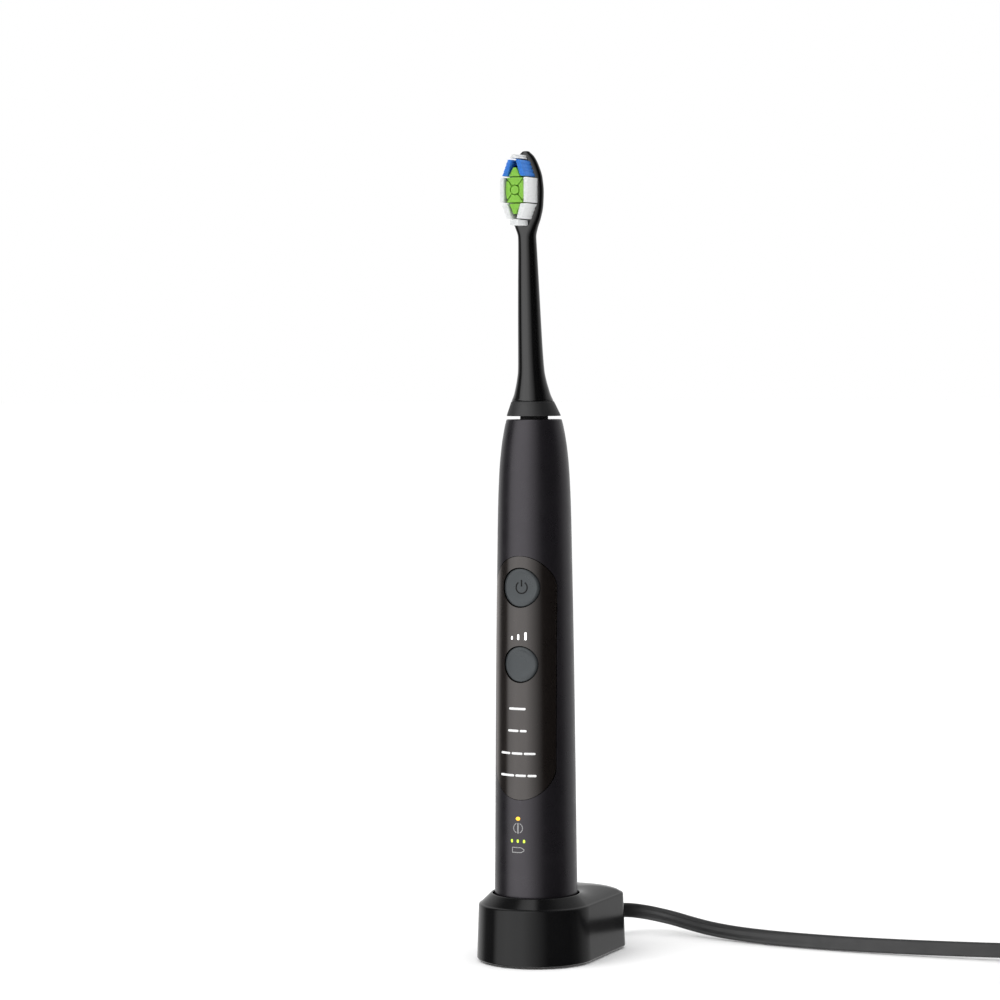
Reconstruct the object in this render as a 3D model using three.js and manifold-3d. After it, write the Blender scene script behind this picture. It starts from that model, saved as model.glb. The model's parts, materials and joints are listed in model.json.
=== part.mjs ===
// Electric toothbrush standing on its induction charger.
// Millimetres, +Z up. The origin is on the resting plane, on the axis of the handle. The front faces -Y.
import * as THREE from 'three';
import { mergeVertices } from 'three/addons/utils/BufferGeometryUtils.js';
import Module from 'manifold-3d';

const wasm = await Module();
wasm.setup();

// ---- fits ----
const GAP = 0.3; // between pieces that touch
const ROUND = 32; // sides of the large round pieces
const SMALL = 20; // sides of the small round pieces
const BEYOND = 5; // how far a cutter runs past what it cuts

// ---- charger ----
const SHELL_BOTTOM = 0.7;
const CHARGER_RADIUS = 19.6; // half width, and the radius of the round front
const CHARGER_REAR = 36; // from the handle's axis to the rear wall
const REAR_CORNER = 7;
const CREASE_HEIGHT = 19.1; // where the wall turns into the sloping top
const WALL_DRAFT = 0.65; // how far the wall leans in on its way up
const CREASE_ROUNDING = 0.8;
const CHARGER_WALL = 1.8;
const RIM_RISE = 3.3; // from the crease to the rim of the nest
const RIM_WIDTH = 0.5;
const NEST_DEPTH = 2.6;
const NEST_CLEARANCE = 0.7; // around the handle
const POST_RADIUS = 3.5;
const POST_WALL = 0.9;
const POST_HEIGHT = 8.5;
const BASE_THICKNESS = 1.6;
const BASE_RECESS = 0.3; // of the base plate in the shell
const PAD_RECESS = 0.7;
const FRONT_PAD_RADIUS = 8;
const REAR_PAD_RADIUS = 3;
const REAR_PAD_X = 11;
const REAR_PAD_Y = 27;
const FERRITE_RADIUS = 2.3;
const PRIMARY_COIL_RADIUS = 8;
const PRIMARY_COIL_BOTTOM = 6;
const CHARGER_BOARD_BOTTOM = 4;
const CHARGER_BOARD_THICKNESS = 1.4;
const CHARGER_BOARD_FRONT = 12;
const CHARGER_BOARD_DEPTH = 16;
const CHARGER_BOARD_HALF_WIDTH = 12.5;
const CAPACITOR_RADIUS = 3;
const CAPACITOR_LENGTH = 8;
const CAPACITOR_X = -7;

// ---- strain relief and lead ----
const EXIT_HEIGHT = 8.8;
const RELIEF_LENGTH = 20;
const RELIEF_INSIDE = 2.8; // how far its body starts inside the rear wall
const RELIEF_BEND = 40; // radius of its bend
const RELIEF_DROP = 0.7; // how far its tip has sagged
const RELIEF_ROOT = [2.9, 3.9]; // half width, half height
const RELIEF_TIP = [1.9, 3.0];
const RELIEF_FLANGE = [4.4, 3.9, 1.6]; // half width, half height, thickness
const CORD_WIDTH = 5; // flat lead, lying on its edge
const CORD_THICKNESS = 2.6;
const CORD_SIDES = 8;
const LEAD_STEPS = 56;
const TAIL_STEPS = 22;
// where the lead lies, from the tip of the strain relief to the coil
const LEAD_POINTS = [
  [4.9, 55.2, 8.1],
  [9.1, 60.4, 7.7],
  [14.5, 63.5, 6.8],
  [20.7, 64.6, 5.7],
  [25.4, 64.0, 5.0],
  [32.0, 62.0, 4.1],
  [40.0, 59.4, 3.3],
  [50.0, 56.7, 2.8],
  [62.0, 54.4, 2.6],
  [76.0, 52.8, 2.6],
  [93.0, 52.1, 2.7],
  [112.0, 52.6, 2.9],
  [132.0, 54.1, 3.2],
  [150.0, 56.0, 3.5],
  [167.6, 57.8, 3.7],
  [184.3, 59.1, 3.7],
];

// ---- coil of the unused length, tie and plug ----
const COIL_TURN_PITCH = 2.8; // from turn to turn, across the coil
const COIL_TURNS_ACROSS = 3;
const COIL_LAYERS = 2;
const COIL_LAYER_PITCH = 5.1;
const COIL_MIDDLE_RADIUS = 27.5;
const COIL_CENTRE = [188.1, 29.0];
const TIE_THICKNESS = 0.8;
const TIE_WIDTH = 7;
const TAIL_ANGLE = 196; // degrees, where the tail turns in over the coil
const TAIL_RAMP = 60; // degrees of the coil that it takes to climb onto it
const TAIL_BEND = 20;
const TAIL_STRAIGHT = 4;
const PLUG_SECTIONS = [
  [0, 3.4, 2.9],
  [12, 4.4, 4.0],
  [15, 8.5, 5.8],
  [22, 14.0, 6.85],
  [38, 17.65, 6.85],
]; // distance from the lead, half width, half thickness
const PIN_RADIUS = 2;
const PIN_LENGTH = 19;
const PIN_SPACING = 18.6;

// ---- handle ----
const HANDLE_LENGTH = 158.2;
const HANDLE_WALL = 2;
const BOTTOM_EDGE = 0.5;
// distance above the bottom, radius
const LOWER_PROFILE = [
  [BOTTOM_EDGE, 13.65],
  [20, 13.42],
  [49, 13.15],
  [81, 12.8],
];
// distance below the top, radius
const UPPER_PROFILE = [
  [45, 12.3],
  [29, 12.0],
  [17, 11.5],
  [9.3, 10.8],
  [5.3, 10.2],
  [1.4, 9.45],
  [0.3, 9.15],
];
const TOP_RADIUS = 8.9;
const CAP_THICKNESS = 4;
const CAP_SIDES = 24;
const WELL_CLEARANCE = 0.6; // around the post
const WELL_WALL = 0.9;
const SEAL_SECTION = 0.55;
const CHARGING_COIL_HEIGHT = 6;
const CHARGING_COIL_THICKNESS = 3.5;
const PANEL_BOTTOM = 34.2; // above the bottom of the handle
const PANEL_TOP = 114;
const PANEL_HALF_WIDTH = 10.7;
const PANEL_RECESS = 1.1;
const PANEL_PROUD = 0.1;
const POWER_BUTTON_HEIGHT = 103.6;
const POWER_BUTTON_RADIUS = 6.35;
const MODE_BUTTON_HEIGHT = 78.6;
const MODE_BUTTON_RADIUS = 5.85;
const BUTTON_TRAVEL = 0.5;
const BUTTON_CLEARANCE = 0.1; // to the membrane when fully pressed
const BUTTON_SUNK = 0.15;
const DISH_DEPTH = 1.0;
const DISH_RADIUS = 15;
const MEMBRANE_THICKNESS = 0.6;
const MEMBRANE_HALF_WIDTH = 5.5;
const MEMBRANE_MARGIN = 8;
const BOARD_THICKNESS = 1;
const BOARD_HALF_WIDTH = 6.3;
const BOARD_BOTTOM = 14; // above the bottom of the handle
const SWITCH_SIZE = 4.4;
const SWITCH_REACH = 0.95; // from the body of the power switch to the membrane
const PLUNGER_RADIUS = 1.2;
const LIGHT_HALF_WIDTH = 3;
const UPPER_LIGHT_HEIGHT = 88.1;
const UPPER_LIGHT_SPAN = 5;
const LOWER_LIGHT_HEIGHT = 22.9;
const LOWER_LIGHT_SPAN = 14;
const BATTERY_RADIUS = 7;
const BATTERY_LENGTH = 50;
const BATTERY_BOTTOM = 40;
const BATTERY_TIP = 1;
const BATTERY_TIP_RADIUS = 2.5;
const CONTACT_THICKNESS = 0.8;
const CONTACT_RADIUS = 5;
const CHASSIS_WALL = 1;
const CHASSIS_DECK = 2;
const MOTOR_BELOW_TOP = 7;
const MOTOR_LENGTH = 36;
const MOTOR_WALL = 1;
const MOTOR_END_WALL = 3;
const BEARING_RADIUS = 3.2;
const SHAFT_RADIUS = 1.5;
const SHAFT_CHAMFER = 0.4;
const SHAFT_ABOVE_HANDLE = 14.2;
const SHAFT_BELOW_MOTOR = 1.8;
const ROTOR_LENGTH = 20;
const ROTOR_CORE_RADIUS = 3.6;
const MAGNET_THICKNESS = 1.1;
const STATOR_AIR_GAP = 0.5;
const STATOR_LENGTH = 24;
const SPRING_WIDTH = 5;
const SPRING_THICKNESS = 0.6;
const SPRING_LENGTH = 9;
const SHAFT_SEAL_RADIUS = 4.6;
const SHAFT_SEAL_FLANGE_THICKNESS = 1.7;
const SHAFT_SEAL_ABOVE = 3.2;
const SHAFT_SEAL_STEP = 1; // straight part above the handle
const SHAFT_SEAL_LIP = 0.8; // thickness of its lip round the shaft

// ---- brush head ----
const HEAD_WALL = 1.2;
// height above the handle, half width, half depth, centre's Y, squareness of the section
const COLLAR_SECTIONS = [
  [1.1, 8.95, 8.95, -0.3, 2],
  [3.6, 7.95, 7.95, -0.7, 2],
  [6.0, 6.95, 6.95, -1.2, 2],
];
const NECK_SECTIONS = [
  [6.3, 6.8, 6.8, -1.25, 2],
  [8.0, 6.05, 6.05, -1.4, 2],
  [10.0, 5.5, 5.5, -1.6, 2],
  [12.5, 4.9, 4.9, -1.9, 2],
  [16.0, 4.35, 4.35, -2.25, 2],
  [22.0, 4.08, 4.08, -2.8, 2],
  [32.0, 3.8, 3.75, -3.5, 2],
  [44.0, 3.46, 3.4, -4.2, 2],
  [54.0, 3.15, 3.05, -4.75, 2],
  [59.4, 3.0, 2.85, -5.15, 2.1],
  [62.2, 3.7, 2.5, -5.5, 2.4],
  [65.6, 5.0, 2.2, -5.8, 2.8],
  [69.6, 5.85, 2.05, -5.9, 3.2],
  [74.1, 6.05, 2.0, -5.9, 3.2],
  [78.6, 5.65, 1.95, -5.9, 3],
  [82.6, 4.4, 1.85, -5.9, 2.6],
  [85.6, 2.8, 1.6, -5.9, 2.2],
  [87.0, 1.3, 1.1, -5.9, 2],
];
const HEAD_SIDES = 24;
const SPIGOT_BOTTOM = 3.7; // above the handle
const SPIGOT_OVERLAP = 0.5; // of the spigot with the neck
const INSERT_BOTTOM = 4.0;
const INSERT_FLANGE_TOP = 7.7;
const INSERT_TOP = 10.9;
const INSERT_FLANGE_RADIUS = 3.2;
const INSERT_SLEEVE_RADIUS = 2.35;
const TUFT_ROOT = 8.3; // from the axis, towards the front
const TUFT_LONG = 7.9;
const TUFT_SHORT = 7.1;

// ---- worked out from the sizes above ----
const rimHeight = CREASE_HEIGHT + RIM_RISE;
const nestFloor = rimHeight - NEST_DEPTH;
const nestRadius = LOWER_PROFILE[0][1] + NEST_CLEARANCE;
const postTop = nestFloor + POST_HEIGHT;
const postBore = POST_RADIUS - POST_WALL;
const cavityTop = CREASE_HEIGHT - CHARGER_WALL;
const baseBottom = SHELL_BOTTOM + BASE_RECESS;
const baseTop = baseBottom + BASE_THICKNESS;
const handleBottom = nestFloor + GAP;
const handleTop = handleBottom + HANDLE_LENGTH;
const boardTop = handleTop - MOTOR_BELOW_TOP - MOTOR_LENGTH - 2 * GAP - SHAFT_BELOW_MOTOR;
const motorTop = handleTop - MOTOR_BELOW_TOP;
const motorBottom = motorTop - MOTOR_LENGTH;
const shaftBore = SHAFT_RADIUS + GAP;
const coilHalfWidth = (COIL_TURN_PITCH * COIL_TURNS_ACROSS) / 2;
const tailRadius = COIL_MIDDLE_RADIUS + COIL_TURN_PITCH; // of the turn that the tail leaves
const coilBottom = TIE_THICKNESS + GAP;
const coilTop = coilBottom + COIL_LAYERS * COIL_LAYER_PITCH;

// ---------- solids ----------
function solid(geometry) {
  const plain = geometry.index ? geometry.toNonIndexed() : geometry.clone();
  plain.deleteAttribute('normal');
  plain.deleteAttribute('uv');
  const merged = mergeVertices(plain, 1e-4);
  const vertices = merged.attributes.position;
  const [a, b, c] = [new THREE.Vector3(), new THREE.Vector3(), new THREE.Vector3()];
  let triangles = [];
  let volume = 0;
  for (let i = 0; i < merged.index.count; i += 3) {
    const corners = [0, 1, 2].map((k) => merged.index.getX(i + k));
    if (new Set(corners).size < 3) continue;
    triangles.push(corners);
    [a, b, c].forEach((corner, k) => corner.fromBufferAttribute(vertices, corners[k]));
    volume += a.dot(b.cross(c));
  }
  if (volume < 0) triangles = triangles.map(([p, q, r]) => [p, r, q]);
  return new wasm.Manifold(new wasm.Mesh({
    numProp: 3,
    vertProperties: new Float32Array(vertices.array),
    triVerts: new Uint32Array(triangles.flat()),
  }));
}

function geometryOf(manifold) {
  const { vertProperties, triVerts } = manifold.getMesh();
  const geometry = new THREE.BufferGeometry();
  geometry.setAttribute('position', new THREE.BufferAttribute(vertProperties, 3));
  geometry.setIndex(new THREE.BufferAttribute(triVerts, 1));
  geometry.computeVertexNormals();
  return geometry;
}

// an outline of [radius, height] turned about the Z axis
function turned(outline, sides = ROUND) {
  const points = outline.map(([r, z]) => new THREE.Vector2(r, z));
  if (outline[0][0] > 0) points.push(points[0].clone());
  return solid(new THREE.LatheGeometry(points, sides).rotateX(Math.PI / 2));
}

function rod(radius, bottom, top, sides = SMALL) {
  return turned([[0, bottom], [radius, bottom], [radius, top], [0, top]], sides);
}

function ring(inner, outer, bottom, top, sides = SMALL) {
  return turned([[inner, bottom], [outer, bottom], [outer, top], [inner, top]], sides);
}

// a rod along Y, from the axis of the handle towards the front
function frontRod(radius, height, near, far, sides = SMALL) {
  return solid(geometryOf(rod(radius, near, far, sides)).rotateX(Math.PI / 2)
    .translate(0, 0, height));
}

function block([x0, y0, z0], [x1, y1, z1]) {
  const geometry = new THREE.BoxGeometry(x1 - x0, y1 - y0, z1 - z0);
  return solid(geometry.translate((x0 + x1) / 2, (y0 + y1) / 2, (z0 + z1) / 2));
}

// rings of the same number of points, joined into one skin and closed at both ends
function loft(rings) {
  const count = rings[0].length;
  const positions = rings.flat().flatMap((p) => [p.x, p.y, p.z]);
  const middle = (points) => points.reduce((sum, p) => sum.add(p), new THREE.Vector3())
    .divideScalar(points.length);
  const ends = [middle(rings[0]), middle(rings[rings.length - 1])];
  ends.forEach((p) => positions.push(p.x, p.y, p.z));
  const index = [];
  const last = (rings.length - 1) * count;
  const first = rings.length * count;
  for (let k = 0; k < count; k += 1) {
    const next = (k + 1) % count;
    for (let row = 0; row < last; row += count) {
      index.push(row + k, row + next, row + count + next);
      index.push(row + k, row + count + next, row + count + k);
    }
    index.push(first, next, k);
    index.push(first + 1, last + k, last + next);
  }
  const geometry = new THREE.BufferGeometry();
  geometry.setAttribute('position', new THREE.Float32BufferAttribute(positions, 3));
  geometry.setIndex(index);
  return solid(geometry);
}

function arc(x, y, radius, from, to, steps) {
  return Array.from({ length: steps + 1 }, (_, k) => {
    const angle = THREE.MathUtils.degToRad(from + ((to - from) * k) / steps);
    return new THREE.Vector2(x + radius * Math.cos(angle), y + radius * Math.sin(angle));
  });
}

const superPower = (value, power) => Math.sign(value) * Math.abs(value) ** power;

// a rounded section in the XY plane; a squareness of 2 is an ellipse
function section(halfWidth, halfDepth, y, z, squareness, sides) {
  return Array.from({ length: sides }, (_, k) => {
    const angle = (2 * Math.PI * k) / sides;
    return new THREE.Vector3(
      halfWidth * superPower(Math.cos(angle), 2 / squareness),
      y + halfDepth * superPower(Math.sin(angle), 2 / squareness),
      z,
    );
  });
}

// a smooth curve through [height, radius] points
function smooth(points, steps) {
  return new THREE.SplineCurve(points.map(([z, r]) => new THREE.Vector2(z, r)))
    .getPoints(steps).map((p) => [p.y, p.x]);
}

const assembly = new THREE.Group();

function piece(name, manifold, colour, roughness = 0.5, metalness = 0) {
  const material = new THREE.MeshStandardMaterial({ color: colour, roughness, metalness });
  const mesh = new THREE.Mesh(geometryOf(manifold), material);
  mesh.name = name;
  assembly.add(mesh);
}

// ---------- charger ----------
// the U-shaped plan of the charger: round at the front, square with round corners at the back
function plan(inset, z) {
  const corner = REAR_CORNER - inset;
  const x = CHARGER_RADIUS - REAR_CORNER;
  const y = CHARGER_REAR - REAR_CORNER;
  return [
    ...arc(0, 0, CHARGER_RADIUS - inset, 180, 360, 24),
    ...arc(x, y, corner, 0, 90, 5),
    ...arc(-x, y, corner, 90, 180, 5),
  ].map((p) => new THREE.Vector3(p.x, p.y, z));
}

function wallInset(z) {
  return (WALL_DRAFT * (z - SHELL_BOTTOM)) / (CREASE_HEIGHT - SHELL_BOTTOM);
}

function chargerTop(radius, z) {
  return plan(0, z).map((p) => new THREE.Vector3(p.x, p.y, 0).setLength(radius).setZ(z));
}

function chargerShell() {
  const rounding = [0, 30, 60, 90].map(THREE.MathUtils.degToRad).map((angle) => plan(
    WALL_DRAFT + CREASE_ROUNDING * (1 - Math.cos(angle)),
    CREASE_HEIGHT - CREASE_ROUNDING * (1 - Math.sin(angle)),
  ));
  const body = loft([
    plan(0, SHELL_BOTTOM),
    ...rounding,
    chargerTop(nestRadius + RIM_WIDTH, rimHeight),
  ]);
  const cavity = loft([
    plan(CHARGER_WALL, SHELL_BOTTOM - BEYOND),
    plan(CHARGER_WALL, SHELL_BOTTOM),
    plan(CHARGER_WALL + WALL_DRAFT, cavityTop),
  ]);
  const nest = rod(nestRadius, nestFloor, rimHeight + BEYOND, ROUND);
  const post = turned([
    [0, nestFloor - 1],
    [POST_RADIUS, nestFloor - 1],
    [POST_RADIUS, postTop - POST_WALL],
    [POST_RADIUS - POST_WALL, postTop],
    [0, postTop],
  ], SMALL);
  const bore = rod(postBore, SHELL_BOTTOM - BEYOND, postTop - POST_WALL);
  return body.subtract(cavity).subtract(nest).add(post).subtract(bore)
    .subtract(strainRelief(GAP));
}

function chargerInside() {
  const inset = CHARGER_WALL + GAP + wallInset(baseTop);
  const feet = [
    ['front_pad', 0, 0, FRONT_PAD_RADIUS],
    ['rear_pad_left', -REAR_PAD_X, REAR_PAD_Y, REAR_PAD_RADIUS],
    ['rear_pad_right', REAR_PAD_X, REAR_PAD_Y, REAR_PAD_RADIUS],
  ];
  const padTop = baseBottom + PAD_RECESS - GAP;
  let plate = loft([plan(inset, baseBottom), plan(inset, baseTop)]);
  feet.forEach(([name, x, y, radius]) => {
    const place = (shape) => shape.translate(x, y, 0);
    plate = plate.subtract(place(rod(radius + GAP, baseBottom - BEYOND, baseBottom + PAD_RECESS)));
    piece(name, place(rod(radius, 0, padTop)), 0x1c1c1c, 0.95);
  });
  piece('charger_base_plate', plate, 0x202022, 0.6);

  const coreBottom = baseTop + GAP;
  piece('ferrite_core', rod(FERRITE_RADIUS, coreBottom, postTop - POST_WALL - GAP), 0x3a3b3d, 0.8);
  const coil = ring(FERRITE_RADIUS + GAP, PRIMARY_COIL_RADIUS, PRIMARY_COIL_BOTTOM, cavityTop - GAP);
  piece('primary_coil', coil, 0xb4672f, 0.4, 0.8);

  const boardTopFace = CHARGER_BOARD_BOTTOM + CHARGER_BOARD_THICKNESS;
  const boardBack = CHARGER_BOARD_FRONT + CHARGER_BOARD_DEPTH;
  piece('charger_circuit_board', block(
    [-CHARGER_BOARD_HALF_WIDTH, CHARGER_BOARD_FRONT, CHARGER_BOARD_BOTTOM],
    [CHARGER_BOARD_HALF_WIDTH, boardBack, boardTopFace],
  ), 0x2f6b3c, 0.6);
  const capacitor = rod(CAPACITOR_RADIUS, boardTopFace + GAP, boardTopFace + GAP + CAPACITOR_LENGTH);
  piece('filter_capacitor', capacitor.translate(
    CAPACITOR_X, CHARGER_BOARD_FRONT + CHARGER_BOARD_DEPTH / 2, 0,
  ), 0x26344f, 0.4);
}

// ---------- strain relief, lead, coil and plug ----------
function reliefSection(share, growth) {
  const bend = (share * RELIEF_LENGTH) / RELIEF_BEND;
  const [width, height] = RELIEF_ROOT.map((size, k) => size + (RELIEF_TIP[k] - size) * share);
  const along = new THREE.Vector3(Math.sin(bend), Math.cos(bend), 0);
  const across = new THREE.Vector3(along.y, -along.x, 0);
  const centre = new THREE.Vector3(
    RELIEF_BEND * (1 - Math.cos(bend)),
    CHARGER_REAR + RELIEF_BEND * Math.sin(bend),
    EXIT_HEIGHT - RELIEF_DROP * share ** 2,
  );
  return section(width + growth, height + growth, 0, 0, 2.6, 16).map((p) => centre.clone()
    .addScaledVector(across, p.x).setZ(centre.z + p.y));
}

// grown by the given amount, it cuts its own hole in the shell
function strainRelief(growth = 0) {
  const shares = [-RELIEF_INSIDE / RELIEF_LENGTH, 0, 0.25, 0.5, 0.75, 1];
  const body = loft(shares.map((share) => reliefSection(share, growth)));
  const [width, height, thickness] = RELIEF_FLANGE;
  const back = CHARGER_REAR - WALL_DRAFT - CHARGER_WALL - GAP;
  const flange = block(
    [-width, back - thickness, EXIT_HEIGHT - height],
    [width, back, EXIT_HEIGHT + height],
  );
  return growth > 0 ? body : body.add(flange);
}

function cordTube(points, steps) {
  const outline = new THREE.Shape();
  outline.absellipse(0, 0, CORD_WIDTH / 2, CORD_THICKNESS / 2, 0, 2 * Math.PI);
  const rim = outline.getSpacedPoints(CORD_SIDES).slice(0, CORD_SIDES);
  return solid(new THREE.ExtrudeGeometry(new THREE.Shape(rim), {
    steps,
    bevelEnabled: false,
    extrudePath: new THREE.CatmullRomCurve3(points.map((p) => new THREE.Vector3(...p))),
  }));
}

function coilSolid(growth = 0) {
  return ring(
    COIL_MIDDLE_RADIUS - coilHalfWidth - growth,
    COIL_MIDDLE_RADIUS + coilHalfWidth + growth,
    coilBottom - growth,
    coilTop + growth,
    36,
  ).translate(...COIL_CENTRE, 0);
}

// a point beside the coil: out from its centre, and along its turns, where the tail turns in
function besideCoil(outward, along, z) {
  const angle = THREE.MathUtils.degToRad(TAIL_ANGLE);
  const out = new THREE.Vector2(Math.cos(angle), Math.sin(angle));
  return [
    COIL_CENTRE[0] + outward * out.x + along * out.y,
    COIL_CENTRE[1] + outward * out.y - along * out.x,
    z,
  ];
}

const tailTop = coilTop + GAP + CORD_WIDTH / 2;
const plugAxis = coilTop + GAP + PLUG_SECTIONS[PLUG_SECTIONS.length - 1][2];

// up along the coil, then inwards over it to the plug
function tailPoints() {
  const ramp = [0, 0.25, 0.5, 0.75].map((share) => {
    const angle = THREE.MathUtils.degToRad(TAIL_RAMP * (1 - share));
    const climb = share ** 2 * (3 - 2 * share);
    const layerHeight = coilTop - CORD_WIDTH / 2;
    return besideCoil(
      tailRadius * Math.cos(angle),
      -tailRadius * Math.sin(angle),
      layerHeight + (tailTop - layerHeight) * climb,
    );
  });
  const bend = [0, 22.5, 45, 67.5, 90].map((turn) => {
    const angle = THREE.MathUtils.degToRad(turn);
    return besideCoil(
      tailRadius - TAIL_BEND * (1 - Math.cos(angle)),
      TAIL_BEND * Math.sin(angle),
      tailTop + (plugAxis - tailTop) * (turn / 90) ** 2,
    );
  });
  const end = besideCoil(tailRadius - TAIL_BEND - TAIL_STRAIGHT, TAIL_BEND, plugAxis);
  return [...ramp, ...bend, end];
}

// turns a solid made along +Z so that it points along the plug, and puts it at the end of the tail
function atPlug(manifold) {
  const [x, y, z] = besideCoil(tailRadius - TAIL_BEND - TAIL_STRAIGHT - GAP, TAIL_BEND, plugAxis);
  return solid(geometryOf(manifold).rotateY(-Math.PI / 2)
    .rotateZ(THREE.MathUtils.degToRad(TAIL_ANGLE)).translate(x, y, z));
}

function plug() {
  const face = PLUG_SECTIONS[PLUG_SECTIONS.length - 1][0];
  const body = loft(PLUG_SECTIONS.map(([z, width, thickness]) => (
    section(thickness, width, 0, z, z < 15 ? 2.2 : 4, 20))));
  piece('plug_body', atPlug(body), 0x141414, 0.5);
  [['plug_pin_left', -1], ['plug_pin_right', 1]].forEach(([name, side]) => {
    const pin = rod(PIN_RADIUS, face + GAP, face + GAP + PIN_LENGTH, 16);
    piece(name, atPlug(pin.translate(0, (side * PIN_SPACING) / 2, 0)), 0xc8c8c4, 0.3, 1);
  });
}

function lead() {
  piece('strain_relief', strainRelief(), 0x101010, 0.7);
  const keepOff = coilSolid(GAP);
  const cut = strainRelief().add(loft([
    reliefSection(0.8, GAP), reliefSection(1 + GAP / RELIEF_LENGTH, GAP),
  ]));
  piece('lead_cord', cordTube(LEAD_POINTS, LEAD_STEPS).subtract(keepOff).subtract(cut), 0x0d0d0d, 0.6);
  piece('lead_coil', coilSolid(), 0x0d0d0d, 0.6);
  piece('lead_tail', cordTube(tailPoints(), TAIL_STEPS).subtract(keepOff), 0x0d0d0d, 0.6);
  const bow = TIE_WIDTH ** 2 / (8 * (COIL_MIDDLE_RADIUS - coilHalfWidth)); // of the turns inside the tie
  const width = coilHalfWidth + bow + GAP;
  const height = (coilTop - coilBottom) / 2 + GAP;
  const outside = block(
    [-width - TIE_THICKNESS, -TIE_WIDTH / 2, -height - TIE_THICKNESS],
    [width + TIE_THICKNESS, TIE_WIDTH / 2, height + TIE_THICKNESS],
  );
  const inside = block([-width, -BEYOND, -height], [width, BEYOND, height]);
  const tie = outside.subtract(inside).rotate([0, 0, TAIL_ANGLE + 90]);
  piece('cord_tie', tie.translate(
    ...besideCoil(0, -COIL_MIDDLE_RADIUS, (coilTop + coilBottom) / 2),
  ), 0x2a2a2a, 0.8);
  plug();
}

// ---------- handle ----------
const handleProfile = smooth([
  ...LOWER_PROFILE.map(([h, r]) => [handleBottom + h, r]),
  ...UPPER_PROFILE.map(([h, r]) => [handleTop - h, r]),
], 14);

function handleRadius(z) {
  const k = Math.max(1, handleProfile.findIndex(([, height]) => height >= z));
  const [[r0, z0], [r1, z1]] = [handleProfile[k - 1], handleProfile[k]];
  return r0 + ((r1 - r0) * (z - z0)) / (z1 - z0);
}

// the outside of the handle, moved in or out, between two heights
function handleBody(offset, bottom, top, sides = ROUND) {
  const inner = handleProfile.filter(([, z]) => z > bottom && z < top)
    .map(([r, z]) => [r + offset, z]);
  return turned([
    [0, bottom], [handleRadius(bottom) + offset, bottom],
    ...inner,
    [handleRadius(top) + offset, top], [0, top],
  ], sides);
}

// the outline of the panel as a bar along Y, made smaller by an inset
function panelBar(inset) {
  const bottom = handleBottom + PANEL_BOTTOM + PANEL_HALF_WIDTH;
  const top = handleBottom + PANEL_TOP - PANEL_HALF_WIDTH;
  const radius = PANEL_HALF_WIDTH - inset;
  const outline = [...arc(0, bottom, radius, 180, 360, 16), ...arc(0, top, radius, 0, 180, 16)];
  const depth = handleRadius(handleBottom) + BEYOND;
  return solid(new THREE.ExtrudeGeometry(new THREE.Shape(outline), { depth, bevelEnabled: false })
    .rotateX(Math.PI / 2));
}

function buttonHoles(growth) {
  const reach = handleRadius(handleBottom) + BEYOND;
  return frontRod(POWER_BUTTON_RADIUS + growth, handleBottom + POWER_BUTTON_HEIGHT, 0, reach, 28)
    .add(frontRod(MODE_BUTTON_RADIUS + growth, handleBottom + MODE_BUTTON_HEIGHT, 0, reach, 28));
}

const panelLow = handleBottom + PANEL_BOTTOM - 1;
const panelHigh = handleBottom + PANEL_TOP + 1;

function handleShell() {
  const outline = [
    [0, handleBottom],
    [LOWER_PROFILE[0][1] - BOTTOM_EDGE, handleBottom],
    ...handleProfile,
    [TOP_RADIUS, handleTop],
    [0, handleTop],
  ];
  const insideTop = handleTop - HANDLE_WALL;
  const inside = handleBody(-HANDLE_WALL, handleBottom + BOTTOM_EDGE, insideTop)
    .add(rod(handleRadius(handleBottom + BOTTOM_EDGE) - HANDLE_WALL,
      handleBottom - BEYOND, handleBottom + 1, ROUND));
  const sealHole = rod(SHAFT_SEAL_RADIUS + GAP, insideTop - 1, handleTop + 1);
  const recess = panelBar(0).subtract(handleBody(-PANEL_RECESS, panelLow, panelHigh));
  return turned(outline).subtract(inside).subtract(sealHole).subtract(recess)
    .subtract(buttonHoles(GAP));
}

function panelOverlay() {
  const skin = handleBody(PANEL_PROUD, panelLow, panelHigh)
    .subtract(handleBody(GAP - PANEL_RECESS, panelLow, panelHigh));
  return skin.intersect(panelBar(GAP)).subtract(buttonHoles(GAP));
}

function button(height, radius) {
  const z = handleBottom + height;
  const low = z - radius - 1;
  const high = z + radius + 1;
  const skin = handleBody(-BUTTON_SUNK, low, high)
    .subtract(handleBody(BUTTON_TRAVEL + BUTTON_CLEARANCE - GAP - HANDLE_WALL, low, high));
  const bar = frontRod(radius, z, 0, handleRadius(z) + BEYOND, 28);
  const ball = arc(0, 0, DISH_RADIUS, -87, 87, 58).map(({ x, y }) => [x, y]);
  const dish = turned([[0, -DISH_RADIUS], ...ball, [0, DISH_RADIUS]], 96);
  const dishAxis = handleRadius(z) - BUTTON_SUNK - DISH_DEPTH + DISH_RADIUS;
  return skin.intersect(bar).subtract(dish.translate(0, -dishAxis, z));
}

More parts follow.
